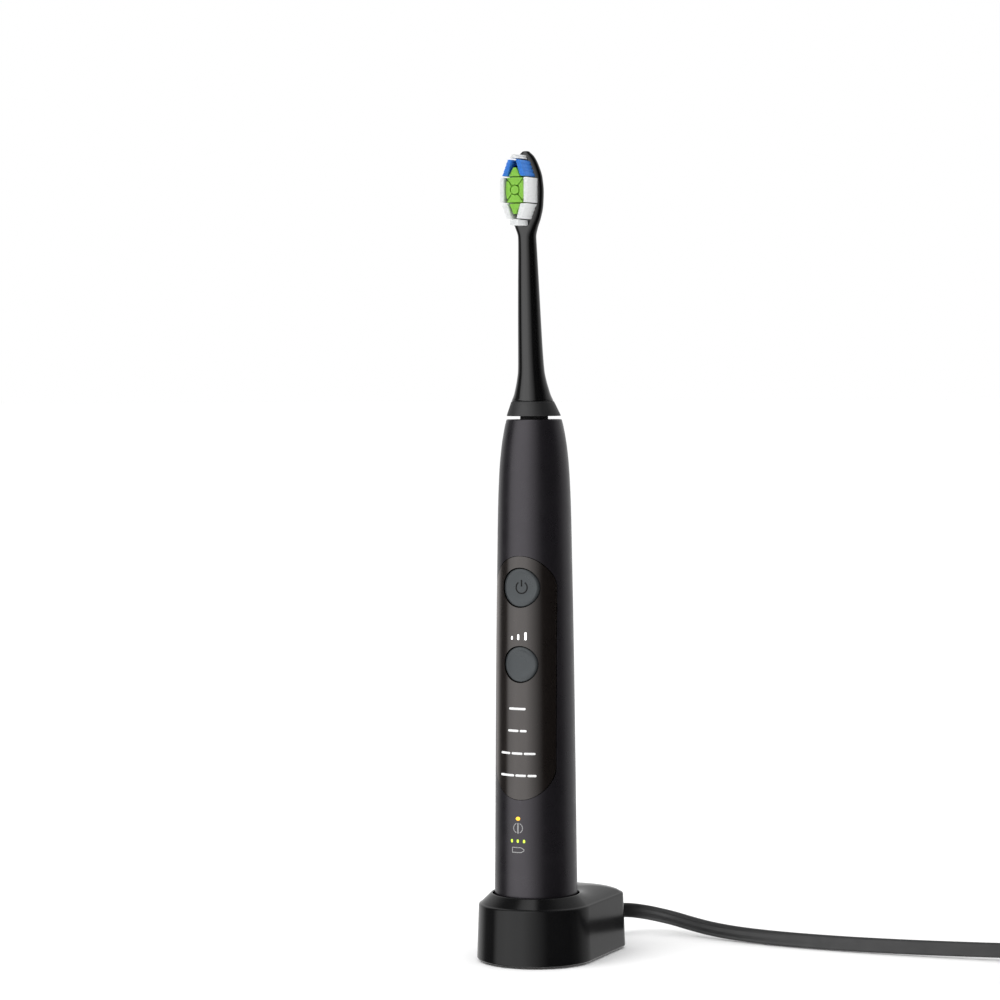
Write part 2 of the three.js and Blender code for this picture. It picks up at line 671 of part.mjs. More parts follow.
function bottomCap() {
  const radius = handleRadius(handleBottom + BOTTOM_EDGE) - HANDLE_WALL - GAP;
  const bottom = handleBottom + GAP;
  const top = bottom + CAP_THICKNESS;
  const middle = bottom + CAP_THICKNESS / 2;
  const groove = [middle - SEAL_SECTION - GAP, middle + SEAL_SECTION + GAP];
  const grooveRadius = radius - 2 * SEAL_SECTION - GAP;
  const wellRadius = POST_RADIUS + WELL_CLEARANCE;
  const wellTop = postTop + WELL_CLEARANCE;
  const cap = turned([
    [wellRadius, bottom], [radius, bottom], [radius, groove[0]], [grooveRadius, groove[0]],
    [grooveRadius, groove[1]], [radius, groove[1]], [radius, top],
    [wellRadius + WELL_WALL, top], [wellRadius + WELL_WALL, wellTop + WELL_WALL],
    [wellRadius, wellTop + WELL_WALL],
  ], CAP_SIDES).add(rod(wellRadius + WELL_WALL, wellTop, wellTop + WELL_WALL, CAP_SIDES));
  piece('bottom_cap', cap, 0x202124, 0.5);

  const seal = arc(radius - SEAL_SECTION, middle, SEAL_SECTION, 0, 360, 6).slice(0, 6);
  piece('bottom_seal', turned(seal.map((p) => [p.x, p.y]), CAP_SIDES), 0x7c2f22, 0.8);

  const coilInner = wellRadius + WELL_WALL + GAP;
  piece('charging_coil', ring(
    coilInner, coilInner + CHARGING_COIL_THICKNESS, top + GAP, top + GAP + CHARGING_COIL_HEIGHT,
  ), 0xb4672f, 0.4, 0.8);
}

// the battery lies against the back of the chassis, and the board stands in front of the battery
const chassisRadius = handleRadius(boardTop) - HANDLE_WALL - GAP;
const batteryBack = chassisRadius - CHASSIS_WALL - GAP - BATTERY_RADIUS;
const mainBoardBack = BATTERY_RADIUS - batteryBack + GAP;
const mainBoardFront = mainBoardBack + BOARD_THICKNESS;

function battery() {
  const bottom = handleBottom + BATTERY_BOTTOM;
  const top = bottom + BATTERY_LENGTH;
  const behind = (shape) => shape.translate(0, batteryBack, 0);
  const cell = turned([
    [0, bottom], [BATTERY_RADIUS, bottom], [BATTERY_RADIUS, top - BATTERY_TIP],
    [BATTERY_TIP_RADIUS, top - BATTERY_TIP], [BATTERY_TIP_RADIUS, top], [0, top],
  ], 28);
  piece('battery_cell', behind(cell), 0x3d6f9e, 0.4);
  const lower = bottom - GAP - CONTACT_THICKNESS;
  const upper = top + GAP;
  piece('battery_contact_lower', behind(rod(CONTACT_RADIUS, lower, lower + CONTACT_THICKNESS)),
    0xc9b37a, 0.3, 1);
  piece('battery_contact_upper', behind(rod(CONTACT_RADIUS, upper, upper + CONTACT_THICKNESS)),
    0xc9b37a, 0.3, 1);
}

const boardBottom = handleBottom + BOARD_BOTTOM;
const deckBottom = handleBottom + BATTERY_BOTTOM - 2 * GAP - CONTACT_THICKNESS - CHASSIS_DECK;
const springDeck = motorBottom - SHAFT_BELOW_MOTOR - SPRING_LENGTH - 2 * GAP - CHASSIS_DECK;

// a carrier behind the board: a half tube with two decks, one under the battery and one under the spring
function chassis() {
  const back = [
    ...arc(0, 0, chassisRadius, -8, 188, 28),
    ...arc(0, 0, chassisRadius - CHASSIS_WALL, 188, -8, 28),
  ];
  const wall = solid(new THREE.ExtrudeGeometry(new THREE.Shape(back), {
    depth: boardTop - boardBottom, bevelEnabled: false,
  }).translate(0, 0, boardBottom));
  const keep = block(
    [-chassisRadius, GAP - mainBoardBack, boardBottom],
    [chassisRadius, chassisRadius, boardTop],
  );
  const deck = (z) => rod(chassisRadius - CHASSIS_WALL / 2, z, z + CHASSIS_DECK, 28).intersect(keep);
  return wall.add(deck(deckBottom)).add(deck(springDeck));
}

function electronics() {
  piece('main_circuit_board', block(
    [-BOARD_HALF_WIDTH, -mainBoardFront, boardBottom],
    [BOARD_HALF_WIDTH, -mainBoardBack, boardTop],
  ), 0x2f6b3c, 0.6);
  const membraneInner = (z) => handleRadius(z) - HANDLE_WALL - GAP - MEMBRANE_THICKNESS;
  const switchFront = membraneInner(handleBottom + POWER_BUTTON_HEIGHT) - SWITCH_REACH;
  [['power_switch', POWER_BUTTON_HEIGHT], ['mode_switch', MODE_BUTTON_HEIGHT]]
    .forEach(([name, height]) => {
      const z = handleBottom + height;
      const half = SWITCH_SIZE / 2;
      const near = mainBoardFront + GAP;
      const body = block([-half, -switchFront, z - half], [half, -near, z + half]);
      const plunger = frontRod(PLUNGER_RADIUS, z, near + 1, membraneInner(z) - GAP, 12);
      piece(name, body.add(plunger), 0xb0b0ae, 0.4, 0.6);
    });
  const membraneLow = handleBottom + MODE_BUTTON_HEIGHT - MEMBRANE_MARGIN;
  const membraneHigh = handleBottom + POWER_BUTTON_HEIGHT + MEMBRANE_MARGIN;
  const membrane = handleBody(-HANDLE_WALL - GAP, membraneLow, membraneHigh)
    .subtract(handleBody(-HANDLE_WALL - GAP - MEMBRANE_THICKNESS, membraneLow - 1, membraneHigh + 1))
    .intersect(block(
      [-MEMBRANE_HALF_WIDTH, -handleRadius(membraneLow), membraneLow],
      [MEMBRANE_HALF_WIDTH, 0, membraneHigh],
    ));
  piece('button_membrane', membrane, 0x4a4b4d, 0.9);

  const light = (height, span, front) => block(
    [-LIGHT_HALF_WIDTH, -front, handleBottom + height - span / 2],
    [LIGHT_HALF_WIDTH, -mainBoardFront - GAP, handleBottom + height + span / 2],
  );
  const reach = (radius) => Math.sqrt(radius ** 2 - LIGHT_HALF_WIDTH ** 2) - GAP;
  const upperFront = reach(membraneInner(handleBottom + UPPER_LIGHT_HEIGHT));
  const lowerFront = reach(handleRadius(handleBottom + LOWER_LIGHT_HEIGHT) - HANDLE_WALL);
  piece('intensity_light_guide', light(UPPER_LIGHT_HEIGHT, UPPER_LIGHT_SPAN, upperFront), 0xf2f2ee, 0.2);
  piece('battery_light_guide', light(LOWER_LIGHT_HEIGHT, LOWER_LIGHT_SPAN, lowerFront), 0xe9efd8, 0.2);
}

function motor() {
  const radius = handleRadius(motorTop) - HANDLE_WALL - GAP;
  const inner = radius - MOTOR_WALL;
  const lidBottom = motorTop - MOTOR_END_WALL;
  const seat = BEARING_RADIUS + GAP;
  piece('motor_frame', turned([
    [seat, motorBottom], [radius, motorBottom], [radius, lidBottom - GAP],
    [inner, lidBottom - GAP], [inner, motorBottom + MOTOR_END_WALL],
    [seat, motorBottom + MOTOR_END_WALL],
  ], CAP_SIDES), 0x8f9296, 0.35, 1);
  piece('motor_lid', ring(seat, radius, lidBottom, motorTop, CAP_SIDES), 0x8f9296, 0.35, 1);
  piece('lower_bearing', ring(shaftBore, BEARING_RADIUS, motorBottom, motorBottom + MOTOR_END_WALL),
    0xb98f4a, 0.4, 0.9);
  piece('upper_bearing', ring(shaftBore, BEARING_RADIUS, lidBottom, motorTop), 0xb98f4a, 0.4, 0.9);

  const middle = (motorBottom + MOTOR_END_WALL + lidBottom) / 2;
  const magnetInner = ROTOR_CORE_RADIUS + GAP;
  const magnetOuter = magnetInner + MAGNET_THICKNESS;
  const stator = [middle - STATOR_LENGTH / 2, middle + STATOR_LENGTH / 2];
  const rotor = [middle - ROTOR_LENGTH / 2, middle + ROTOR_LENGTH / 2];
  piece('stator_coil', ring(magnetOuter + STATOR_AIR_GAP, inner - GAP, ...stator), 0xb4672f, 0.4, 0.8);
  piece('rotor_core', ring(shaftBore, ROTOR_CORE_RADIUS, ...rotor), 0x6d7074, 0.4, 1);
  piece('rotor_magnet', ring(magnetInner, magnetOuter, ...rotor), 0x55585c, 0.3, 1);

  const shaftBottom = motorBottom - SHAFT_BELOW_MOTOR;
  const shaftTop = handleTop + SHAFT_ABOVE_HANDLE;
  piece('drive_shaft', turned([
    [0, shaftBottom], [SHAFT_RADIUS, shaftBottom], [SHAFT_RADIUS, shaftTop - SHAFT_CHAMFER],
    [SHAFT_RADIUS - SHAFT_CHAMFER, shaftTop], [0, shaftTop],
  ], SMALL), 0xd0d2d4, 0.25, 1);
  const springTop = shaftBottom - GAP;
  piece('return_spring', block(
    [-SPRING_WIDTH / 2, -SPRING_THICKNESS / 2, springTop - SPRING_LENGTH],
    [SPRING_WIDTH / 2, SPRING_THICKNESS / 2, springTop],
  ), 0x9a9da0, 0.3, 1);
}

function shaftSeal() {
  const flangeTop = handleTop - HANDLE_WALL - GAP;
  const flangeRadius = handleRadius(flangeTop) - HANDLE_WALL - GAP;
  const top = handleTop + SHAFT_SEAL_ABOVE;
  return turned([
    [shaftBore, flangeTop - SHAFT_SEAL_FLANGE_THICKNESS],
    [flangeRadius, flangeTop - SHAFT_SEAL_FLANGE_THICKNESS],
    [flangeRadius, flangeTop],
    [SHAFT_SEAL_RADIUS, flangeTop],
    [SHAFT_SEAL_RADIUS, handleTop + SHAFT_SEAL_STEP],
    [shaftBore + SHAFT_SEAL_LIP, top],
    [shaftBore, top],
  ], CAP_SIDES);
}

// ---------- brush head ----------
// sections of the head, evenly stepped along the smooth curve through the named ones
function headRings(sections, steps, inset = 0) {
  const path = (column) => new THREE.SplineCurve(
    sections.map((row) => new THREE.Vector2(row[0], row[column])),
  ).getPoints(steps * (sections.length - 1));
  const [widths, depths, middles, squares] = [1, 2, 3, 4].map(path);
  return widths.map(({ x, y }, k) => section(
    y - inset, depths[k].y - inset, middles[k].y, handleTop + x, squares[k].y, HEAD_SIDES,
  ));
}

function collarInside(rowHeight) {
  const [low, , high] = COLLAR_SECTIONS;
  const share = (rowHeight - low[0]) / (high[0] - low[0]);
  return low.map((value, k) => value + (high[k] - value) * share);
}

function brushShell() {
  const spigotTop = NECK_SECTIONS[0][0] + SPIGOT_OVERLAP;
  const spigot = loft(headRings(
    [collarInside(SPIGOT_BOTTOM), collarInside(spigotTop)], 1, HEAD_WALL + GAP,
  ));
  const flangeHole = rod(INSERT_FLANGE_RADIUS + GAP, handleTop, handleTop + INSERT_FLANGE_TOP + GAP);
  const sleeveHole = rod(INSERT_SLEEVE_RADIUS + GAP, handleTop, handleTop + INSERT_TOP + GAP);
  const shaftHole = rod(shaftBore, handleTop, handleTop + SHAFT_ABOVE_HANDLE + GAP);
  return loft(headRings(NECK_SECTIONS, 1)).add(spigot)
    .subtract(flangeHole).subtract(sleeveHole).subtract(shaftHole);
}

function couplingInsert() {
  const bottom = handleTop + INSERT_BOTTOM;
  const step = handleTop + INSERT_FLANGE_TOP;
  const top = handleTop + INSERT_TOP;
  return turned([
    [shaftBore, bottom], [INSERT_FLANGE_RADIUS, bottom], [INSERT_FLANGE_RADIUS, step],
    [INSERT_SLEEVE_RADIUS, step], [INSERT_SLEEVE_RADIUS, top], [shaftBore, top],
  ], SMALL);
}

// a group of bristles: an outline in the XZ plane, heights counted from the top of the handle
function tuft(outline, length) {
  const shape = new THREE.Shape(outline.map(([x, h]) => new THREE.Vector2(x, handleTop + h)));
  return solid(new THREE.ExtrudeGeometry(shape, { depth: length, bevelEnabled: false })
    .rotateX(Math.PI / 2).translate(0, -TUFT_ROOT, 0));
}

const mirrored = (outline) => outline.map(([x, h]) => [-x, h]);

function bristles() {
  const white = 0xf2f3f2;
  const blue = 0x2f6fb4;
  const green = 0x59b23c;
  const tufts = {
    tuft_centre: [green, TUFT_SHORT, [[-3.1, 70.3], [3.1, 70.3], [3.1, 78.3], [-3.1, 78.3]]],
    tuft_upper: [green, TUFT_SHORT, [[-1.9, 78.7], [1.9, 78.7], [0.4, 81.6], [-0.4, 81.6]]],
    tuft_lower: [green, TUFT_SHORT, [[-0.4, 66.6], [0.4, 66.6], [1.9, 69.9], [-1.9, 69.9]]],
    tuft_tip: [white, TUFT_LONG, [[-1.2, 84.5], [1.2, 84.5], [0.8, 85.9], [-0.8, 85.9]]],
    tuft_heel: [white, TUFT_LONG, [[-1.5, 63], [1.5, 63], [1.5, 64.7], [-1.5, 64.7]]],
  };
  const sides = {
    tuft_side: [white, TUFT_LONG, [[3.5, 70.3], [4.8, 70.3], [4.8, 78.3], [3.5, 78.3]]],
    tuft_low: [white, TUFT_LONG, [[1.0, 65.1], [2.6, 65.1], [4.5, 69.9], [2.3, 69.9]]],
    tuft_bar: [blue, TUFT_LONG, [[2.3, 78.8], [4.0, 78.8], [2.0, 84.1], [0.7, 84.1]]],
  };
  Object.entries(tufts).forEach(([name, [colour, length, outline]]) => {
    piece(name, tuft(outline, length), colour, 0.6);
  });
  Object.entries(sides).forEach(([name, [colour, length, outline]]) => {
    piece(`${name}_right`, tuft(outline, length), colour, 0.6);
    piece(`${name}_left`, tuft(mirrored(outline), length), colour, 0.6);
  });
}

function brushHead() {
  piece('brush_shell', brushShell(), 0x0a0a0b, 0.15);
  const collar = loft(headRings(COLLAR_SECTIONS, 1)).subtract(loft(headRings([
    collarInside(COLLAR_SECTIONS[0][0] - 1), collarInside(COLLAR_SECTIONS[2][0] + 1),
  ], 1, HEAD_WALL)));
  piece('collar_ring', collar, 0x2b2b2d, 0.7);
  piece('coupling_insert', couplingInsert(), 0xd8d8d2, 0.5);
  bristles();
}

// ---------- the whole object ----------
piece('charger_shell', chargerShell(), 0x0b0b0c, 0.25);
chargerInside();
lead();

piece('handle_shell', handleShell(), 0x3a393f, 0.45);
piece('panel_overlay', panelOverlay(), 0x3d3634, 0.15, 0.3);
piece('power_button', button(POWER_BUTTON_HEIGHT, POWER_BUTTON_RADIUS), 0x55585a, 0.45);
piece('mode_button', button(MODE_BUTTON_HEIGHT, MODE_BUTTON_RADIUS), 0x55585a, 0.45);
piece('shaft_seal', shaftSeal(), 0x18181a, 0.7);
piece('inner_chassis', chassis(), 0xc8c8c2, 0.6);
bottomCap();
battery();
electronics();
motor();
brushHead();

export default assembly;
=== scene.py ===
# Electric toothbrush standing on its induction charger, in its studio setting.
# Shapes are worked out in millimetres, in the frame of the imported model, and made in metres.
import json
import math
import random

import bmesh
import bpy
from mathutils import Matrix, Vector


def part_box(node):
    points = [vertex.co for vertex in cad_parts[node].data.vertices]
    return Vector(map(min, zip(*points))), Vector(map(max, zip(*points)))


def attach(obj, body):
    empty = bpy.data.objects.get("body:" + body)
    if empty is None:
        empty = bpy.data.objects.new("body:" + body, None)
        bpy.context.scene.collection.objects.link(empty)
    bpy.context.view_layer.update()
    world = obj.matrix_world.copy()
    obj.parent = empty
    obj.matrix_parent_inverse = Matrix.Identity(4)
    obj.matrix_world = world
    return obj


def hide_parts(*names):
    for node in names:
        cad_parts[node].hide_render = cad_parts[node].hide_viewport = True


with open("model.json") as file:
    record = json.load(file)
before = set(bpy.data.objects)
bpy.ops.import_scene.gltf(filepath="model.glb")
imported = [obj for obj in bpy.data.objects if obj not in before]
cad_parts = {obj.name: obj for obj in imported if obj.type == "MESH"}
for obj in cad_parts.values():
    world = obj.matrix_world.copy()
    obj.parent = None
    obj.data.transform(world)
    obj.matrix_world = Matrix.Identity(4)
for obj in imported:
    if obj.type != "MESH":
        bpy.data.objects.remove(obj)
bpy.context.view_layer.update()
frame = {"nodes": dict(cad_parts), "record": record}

scene = bpy.context.scene
random.seed(4)

MM = 0.001
SIDES = 160  # of the large round pieces
GAP = 0.3  # between the frame's neighbouring pieces


def box(node):
    """The lowest and highest corner of a node, in millimetres."""
    low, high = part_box(node)
    return low / MM, high / MM


# ---- sizes taken from the frame ----
HANDLE_BOTTOM = box("handle_shell")[0].z
HANDLE_TOP = box("handle_shell")[1].z
SHELL_BOTTOM = box("charger_shell")[0].z
POST_TOP = box("charger_shell")[1].z
COIL_BOTTOM = box("lead_coil")[0].z
COIL_TOP = box("lead_coil")[1].z
COIL_CENTRE = (box("lead_coil")[0] + box("lead_coil")[1]) / 2

# ---- camera ----
CAMERA_AZIMUTH = math.radians(23)
CAMERA_DISTANCE = 1.081
CAMERA_HEIGHT = 0.1945
CAMERA_PITCH = math.radians(2.26)
CAMERA_YAW = math.radians(0.6)
CAMERA_ROLL = math.radians(0.27)
CAMERA_LENS = 118.6

# ---- light ----
TENT_LIGHT = 1.1
# what a gloss surface mirrors: the azimuth from the camera in degrees, to the right, and its brightness
MIRRORED = [
    (-180, 0.8), (-136, 0.75), (-118, 0.12), (-94, 0.08), (-82, 1.7), (-60, 2.3), (-28, 2.2), (-8, 1.3),
    (8, 0.6), (22, 0.04), (70, 0.01), (88, 0.16), (104, 0.55), (140, 0.75), (180, 0.8),
]
MIRRORED_PEAK = max(brightness for _, brightness in MIRRORED)
LAMP_PLACE = (-0.55, -0.75, 0.95)
LAMP_AIM = Vector((0, 0, 0.1))
LAMP_SIZE = 0.9
LAMP_POWER = 7
FLOOR_HALF = 30

# ---- lead ----
CORD_WIDTH = 5
CORD_THICKNESS = 2.6
# where the lead lies, from the tip of the strain relief to the coil
LEAD_POINTS = [
    (4.9, 55.2, 8.1), (9.1, 60.4, 7.7), (14.5, 63.5, 6.8), (20.7, 64.6, 5.7),
    (25.4, 64.0, 5.0), (32.0, 62.0, 4.1), (40.0, 59.4, 3.3), (50.0, 56.7, 2.8),
    (62.0, 54.4, 2.6), (76.0, 52.8, 2.6), (93.0, 52.1, 2.7), (112.0, 52.6, 2.9),
    (132.0, 54.1, 3.2), (150.0, 56.0, 3.5), (167.6, 57.8, 3.7), (184.3, 59.1, 3.7),
]
COIL_TURN_PITCH = 2.8
COIL_MIDDLE_RADIUS = 27.5
COIL_TURNS = 5.56
COIL_LAYER = 5.1
COIL_START = 97.2  # degrees, where the lead comes in
TAIL_ANGLE = 196  # degrees, where the tail turns in over the coil
TAIL_RAMP = 60
TAIL_START_RADIUS = COIL_MIDDLE_RADIUS + COIL_TURN_PITCH
TAIL_BEND = 20
TAIL_STRAIGHT = 4
RELIEF_LENGTH = 20
RELIEF_BEND = 40
RELIEF_HALF_WIDTH = 2.9  # at its root, and 1 mm less at its tip
RELIEF_HALF_HEIGHT = 3.9
RELIEF_HEIGHT_TAPER = 0.9
RELIEF_RIBS = 7
TIE_THICKNESS = 0.8
TIE_WIDTH = 7
EXIT_HEIGHT = 8.8
RELIEF_DROP = 0.7
# distance from the lead, half width, half thickness, squareness
PLUG_SECTIONS = [
    (0, 3.4, 2.9, 2.2), (12, 4.4, 4.0, 2.2), (15, 8.5, 5.8, 3), (22, 14.0, 6.85, 4), (38, 17.65, 6.85, 4),
]
PLUG_ROUNDING = 1  # of the edge round the pins
RIB_DEPTH = 0.35
RIBS_FROM, RIBS_TO = 2, 12
PIN_RADIUS = 2
PIN_LENGTH = 19
PIN_SPACING = 18.6

# ---- charger ----
CHARGER_RADIUS = box("charger_shell")[1].x
CHARGER_REAR = box("charger_shell")[1].y
REAR_CORNER = 7
CREASE_HEIGHT = 19.1
WALL_DRAFT = 0.65
CREASE_ROUNDING = 0.8
CHARGER_WALL = 1.8
RIM_HEIGHT = CREASE_HEIGHT + 3.3
RIM_WIDTH = 0.5
FOOT_ROUNDING = 0.6
TOP_BULGE = 1.6  # of the top behind the handle
NEST_RADIUS = 14.35
NEST_FLOOR = HANDLE_BOTTOM - GAP
POST_RADIUS = 3.5
POST_WALL = 0.9
POST_BORE = POST_RADIUS - POST_WALL

# ---- handle ----
HANDLE_WALL = 2
BOTTOM_EDGE = 0.5
TOP_RADIUS = 8.9
TOP_EDGE = 0.1
TOP_EDGE_DROP = 0.06
SKIN_TOLERANCE = 0.08
SKIN_FACING = 0.93  # least cosine between a face on the skin and the way out from the axis
BAR_NEAR, BAR_FAR = 3, 20  # in front of the axis, on either side of the wall
# height above the bottom of the handle, radius
HANDLE_PROFILE = [
    (BOTTOM_EDGE, 13.65), (20, 13.42), (49, 13.15), (81, 12.8), (113.2, 12.3), (129.2, 12.0),
    (141.2, 11.5), (148.9, 10.8), (152.9, 10.2), (156.8, 9.45), (157.9, 9.15),
]
PANEL_BOTTOM = 34.2
PANEL_TOP = 114
PANEL_HALF_WIDTH = 10.7
PANEL_RECESS = 1.1
PANEL_PROUD = 0.1
PANEL_CLEARANCE = 0.2
PANEL_CHAMFER = 0.24
POWER_BUTTON = (103.6, 6.35)  # height above the bottom of the handle, radius
MODE_BUTTON = (78.6, 5.85)
BUTTON_SUNK = 0.15
BOWL_DEPTH = 1.2
BUTTON_THICKNESS = 1.45  # from the skin to its back, above and below its middle
BUTTON_SIDE = 0.2  # least height of its straight side
BUTTON_LIP = 1.0
BUTTON_ROUNDING = 0.55
SEAL_RADIUS = 4.6
SEAL_STEP = 1  # straight part of the seal above the handle
SEAL_LIP = 0.8
SHAFT_RADIUS = 1.5
SHAFT_BORE = SHAFT_RADIUS + GAP
CAP_THICKNESS = 4
WELL_CLEARANCE = 0.6  # round the post
WELL_WALL = 0.9
RING_SECTION = 0.55  # radius of the sealing ring in the bottom cap's groove

# ---- marks: heights above the bottom of the handle ----
INTENSITY_HEIGHT = 86.9
CHARGE_HEIGHT = 28.2
HEAD_MARK_HEIGHT = 25.1
BATTERY_LIGHT_HEIGHT = 20.85
BATTERY_MARK_HEIGHT = 17.95
MARKS_MIDDLE = -0.67  # X of the lower marks
FINE_LINE = 0.13  # half widths of the printed lines
DASH_LINE = 0.38
MARK_PROUD = 0.02
MARK_SUNK = 0.05
POWER_MARK_PROUD = 0.03

# ---- brush head ----
# height above the handle, half width, half depth, centre's Y, squareness of the section
COLLAR_SECTIONS = [(1.1, 8.95, 8.95, -0.3, 2), (3.6, 7.95, 7.95, -0.7, 2), (6.0, 6.95, 6.95, -1.2, 2)]
NECK_SECTIONS = [
    (6.05, 6.88, 6.88, -1.22, 2), (8.0, 6.05, 6.05, -1.4, 2), (10.0, 5.5, 5.5, -1.6, 2),
    (12.5, 4.9, 4.9, -1.9, 2), (16.0, 4.35, 4.35, -2.25, 2), (22.0, 4.08, 4.08, -2.8, 2),
    (32.0, 3.8, 3.75, -3.5, 2), (44.0, 3.46, 3.4, -4.2, 2), (54.0, 3.15, 3.05, -4.75, 2),
    (59.4, 3.0, 2.85, -5.15, 2.1), (62.2, 3.7, 2.5, -5.5, 2.4), (65.6, 5.0, 2.2, -5.8, 2.8),
    (69.6, 5.85, 2.05, -5.9, 3.2), (74.1, 6.05, 2.0, -5.9, 3.2), (78.6, 5.65, 1.95, -5.9, 3),
    (82.6, 4.4, 1.85, -5.9, 2.6), (85.6, 2.8, 1.6, -5.9, 2.2), (87.0, 1.3, 1.1, -5.9, 2),
]
TIP_RISE = 0.35  # of the rounded end of the paddle
SPIGOT_BOTTOM = 3.7
SPIGOT_WALL = 0.3
HEAD_WALL = 1.2
# the hole up the neck, for the shaft, the insert's sleeve and its flange: radius, top
NECK_HOLES = [(SHAFT_BORE, 14.5), (2.65, 11.2), (3.5, 8)]
BRISTLE_ROOT = -7.3  # Y, inside the paddle
BRISTLE_STRAY = 0.035
BRISTLE_RADIUS = 0.13
BRISTLE_SPACING = 0.25
BLOCK_CENTRE = 74.3  # of the green block, above the handle
BLOCK_CIRCLE = 1.55
BLOCK_SLANT = math.radians(52)
BLOCK_GAP = 0.2  # half width of the gaps in it
BLOCK_HALF_HEIGHT = 4
BLOCK_FLANK = 2.55  # half width at its top and bottom
BLOCK_CROWN = 0.55  # more than that at its middle


# ---------- materials ----------
class Shader:
    """A node material: a Principled surface and short ways to add the nodes that drive it."""

    def __init__(self, name, roughness, metallic=0.0, coat=0.0, coat_roughness=0.1, ior=1.5, specular=0.5,
                 tint=(1, 1, 1)):
        self.material = bpy.data.materials.new(name)
        self.material.use_nodes = True
        self.nodes = self.material.node_tree.nodes
        self.links = self.material.node_tree.links
        self.surface = self.nodes["Principled BSDF"]
        self.place = self.nodes.new("ShaderNodeTexCoord").outputs["Object"]
        for socket, value in {
            "Roughness": roughness,
            "Metallic": metallic,
            "Coat Weight": coat,
            "Coat Roughness": coat_roughness,
            "IOR": ior,
            "Specular IOR Level": specular,
            "Specular Tint": (*tint, 1),
            "Coat Tint": (*tint, 1),
        }.items():
            self.surface.inputs[socket].default_value = value

    def node(self, kind, inputs=(), **settings):
        made = self.nodes.new(kind)
        for key, value in settings.items():
            setattr(made, key, value)
        for socket, value in dict(inputs).items():
            if isinstance(value, bpy.types.NodeSocket):
                self.links.new(value, made.inputs[socket])
            else:
                made.inputs[socket].default_value = value
        return made

    def noise(self, scale, detail=4, roughness=0.6):
        return self.node("ShaderNodeTexNoise", {
            "Vector": self.place, "Scale": scale, "Detail": detail, "Roughness": roughness,
        }).outputs["Fac"]

    def spread(self, value, low, high, start=0.35, end=0.65):
        """The value's middle range, start to end, mapped to low to high."""
        return self.node("ShaderNodeMapRange", {
            "Value": value, "From Min": start, "From Max": end, "To Min": low, "To Max": high,
        }).outputs["Result"]

    def mix(self, share, first, second):
        made = self.node("ShaderNodeMix", data_type="RGBA")
        for socket, value in ((made.inputs[0], share), (made.inputs[6], first), (made.inputs[7], second)):
            if isinstance(value, bpy.types.NodeSocket):
                self.links.new(value, socket)
            elif socket is made.inputs[0]:
                socket.default_value = value
            else:
                socket.default_value = (*value, 1)
        return made.outputs[2]

    def edges(self, start, end):
        """1 on convex edges, 0 elsewhere."""
        pointiness = self.node("ShaderNodeNewGeometry").outputs["Pointiness"]
        return self.spread(pointiness, 0, 1, start, end)

    def set(self, socket, value):
        self.links.new(value, self.surface.inputs[socket])

    def bump(self, height, distance, strength=1.0):
        made = self.node("ShaderNodeBump", {
            "Height": height, "Distance": distance, "Strength": strength,
        })
        self.set("Normal", made.outputs["Normal"])


def moulded(name, colour, edge_wear_and_highlight, roughness, texture=0.00002, grain=9000, coat=0.0, edges=(0.53, 0.62),
            **settings):
    """Moulded plastic or rubber: a fine texture, faint mottling, and convex edges in a lighter colour: edges
    polished by handling, and on the buttons a painted highlight round the lip.
    """
    shader = Shader(name, roughness, coat=coat, **settings)
    mottled = shader.mix(
        shader.spread(shader.noise(60, 5), 0, 1), [c * 0.88 for c in colour], [c * 1.1 for c in colour],
    )
    # convex edges take the lighter colour: wear from handling, and on the buttons a painted highlight on the
    # lip
    shader.set("Base Color", shader.mix(shader.edges(*edges), mottled, edge_wear_and_highlight))
    shader.set("Roughness", shader.spread(shader.noise(180, 6), roughness * 0.88, min(1, roughness * 1.12)))
    shader.bump(shader.noise(grain, 3), texture)
    return shader.material


def metal(name, colour, roughness, brushed=(1, 1, 30), scale=700):
    """Bare metal with the marks of its making, which run across the stretched direction."""
    shader = Shader(name, roughness, metallic=1.0)
    stretched = shader.node("ShaderNodeMapping", {"Vector": shader.place, "Scale": brushed}).outputs[0]
    marks = shader.node("ShaderNodeTexNoise", {
        "Vector": stretched, "Scale": scale, "Detail": 4.0,
    }).outputs["Fac"]
    shader.set("Base Color", shader.mix(
        shader.spread(marks, 0, 1), [c * 0.85 for c in colour], [min(1, c * 1.1) for c in colour],
    ))
    shader.set("Roughness", shader.spread(marks, roughness * 0.8, roughness * 1.3))
    shader.bump(marks, 0.00001)
    return shader.material


def winding(name, colour):
    """Enamelled copper wire, turn above turn."""
    shader = Shader(name, 0.3, metallic=0.9, coat=0.5)
    turns = shader.node("ShaderNodeTexWave", {
        "Vector": shader.place, "Scale": 900.0, "Distortion": 0.4, "Detail": 1.0,
    }, bands_direction="Z").outputs["Fac"]
    shader.set("Base Color", shader.mix(turns, [c * 0.35 for c in colour], colour))
    shader.bump(turns, 0.0001)
    return shader.material


def board(name):
    """A green circuit board with its copper tracks under the solder mask."""
    shader = Shader(name, 0.35, coat=0.4)
    tracks = shader.node("ShaderNodeTexBrick", {
        "Vector": shader.place, "Scale": 260.0, "Mortar Size": 0.03,
        "Color1": (0.02, 0.16, 0.06, 1), "Color2": (0.02, 0.13, 0.05, 1), "Mortar": (0.05, 0.26, 0.1, 1),
    })
    shader.set("Base Color", shader.mix(
        shader.spread(shader.noise(300, 4), 0, 0.4), tracks.outputs["Color"], (0.03, 0.2, 0.08),
    ))
    shader.bump(tracks.outputs["Fac"], 0.00003)
    return shader.material


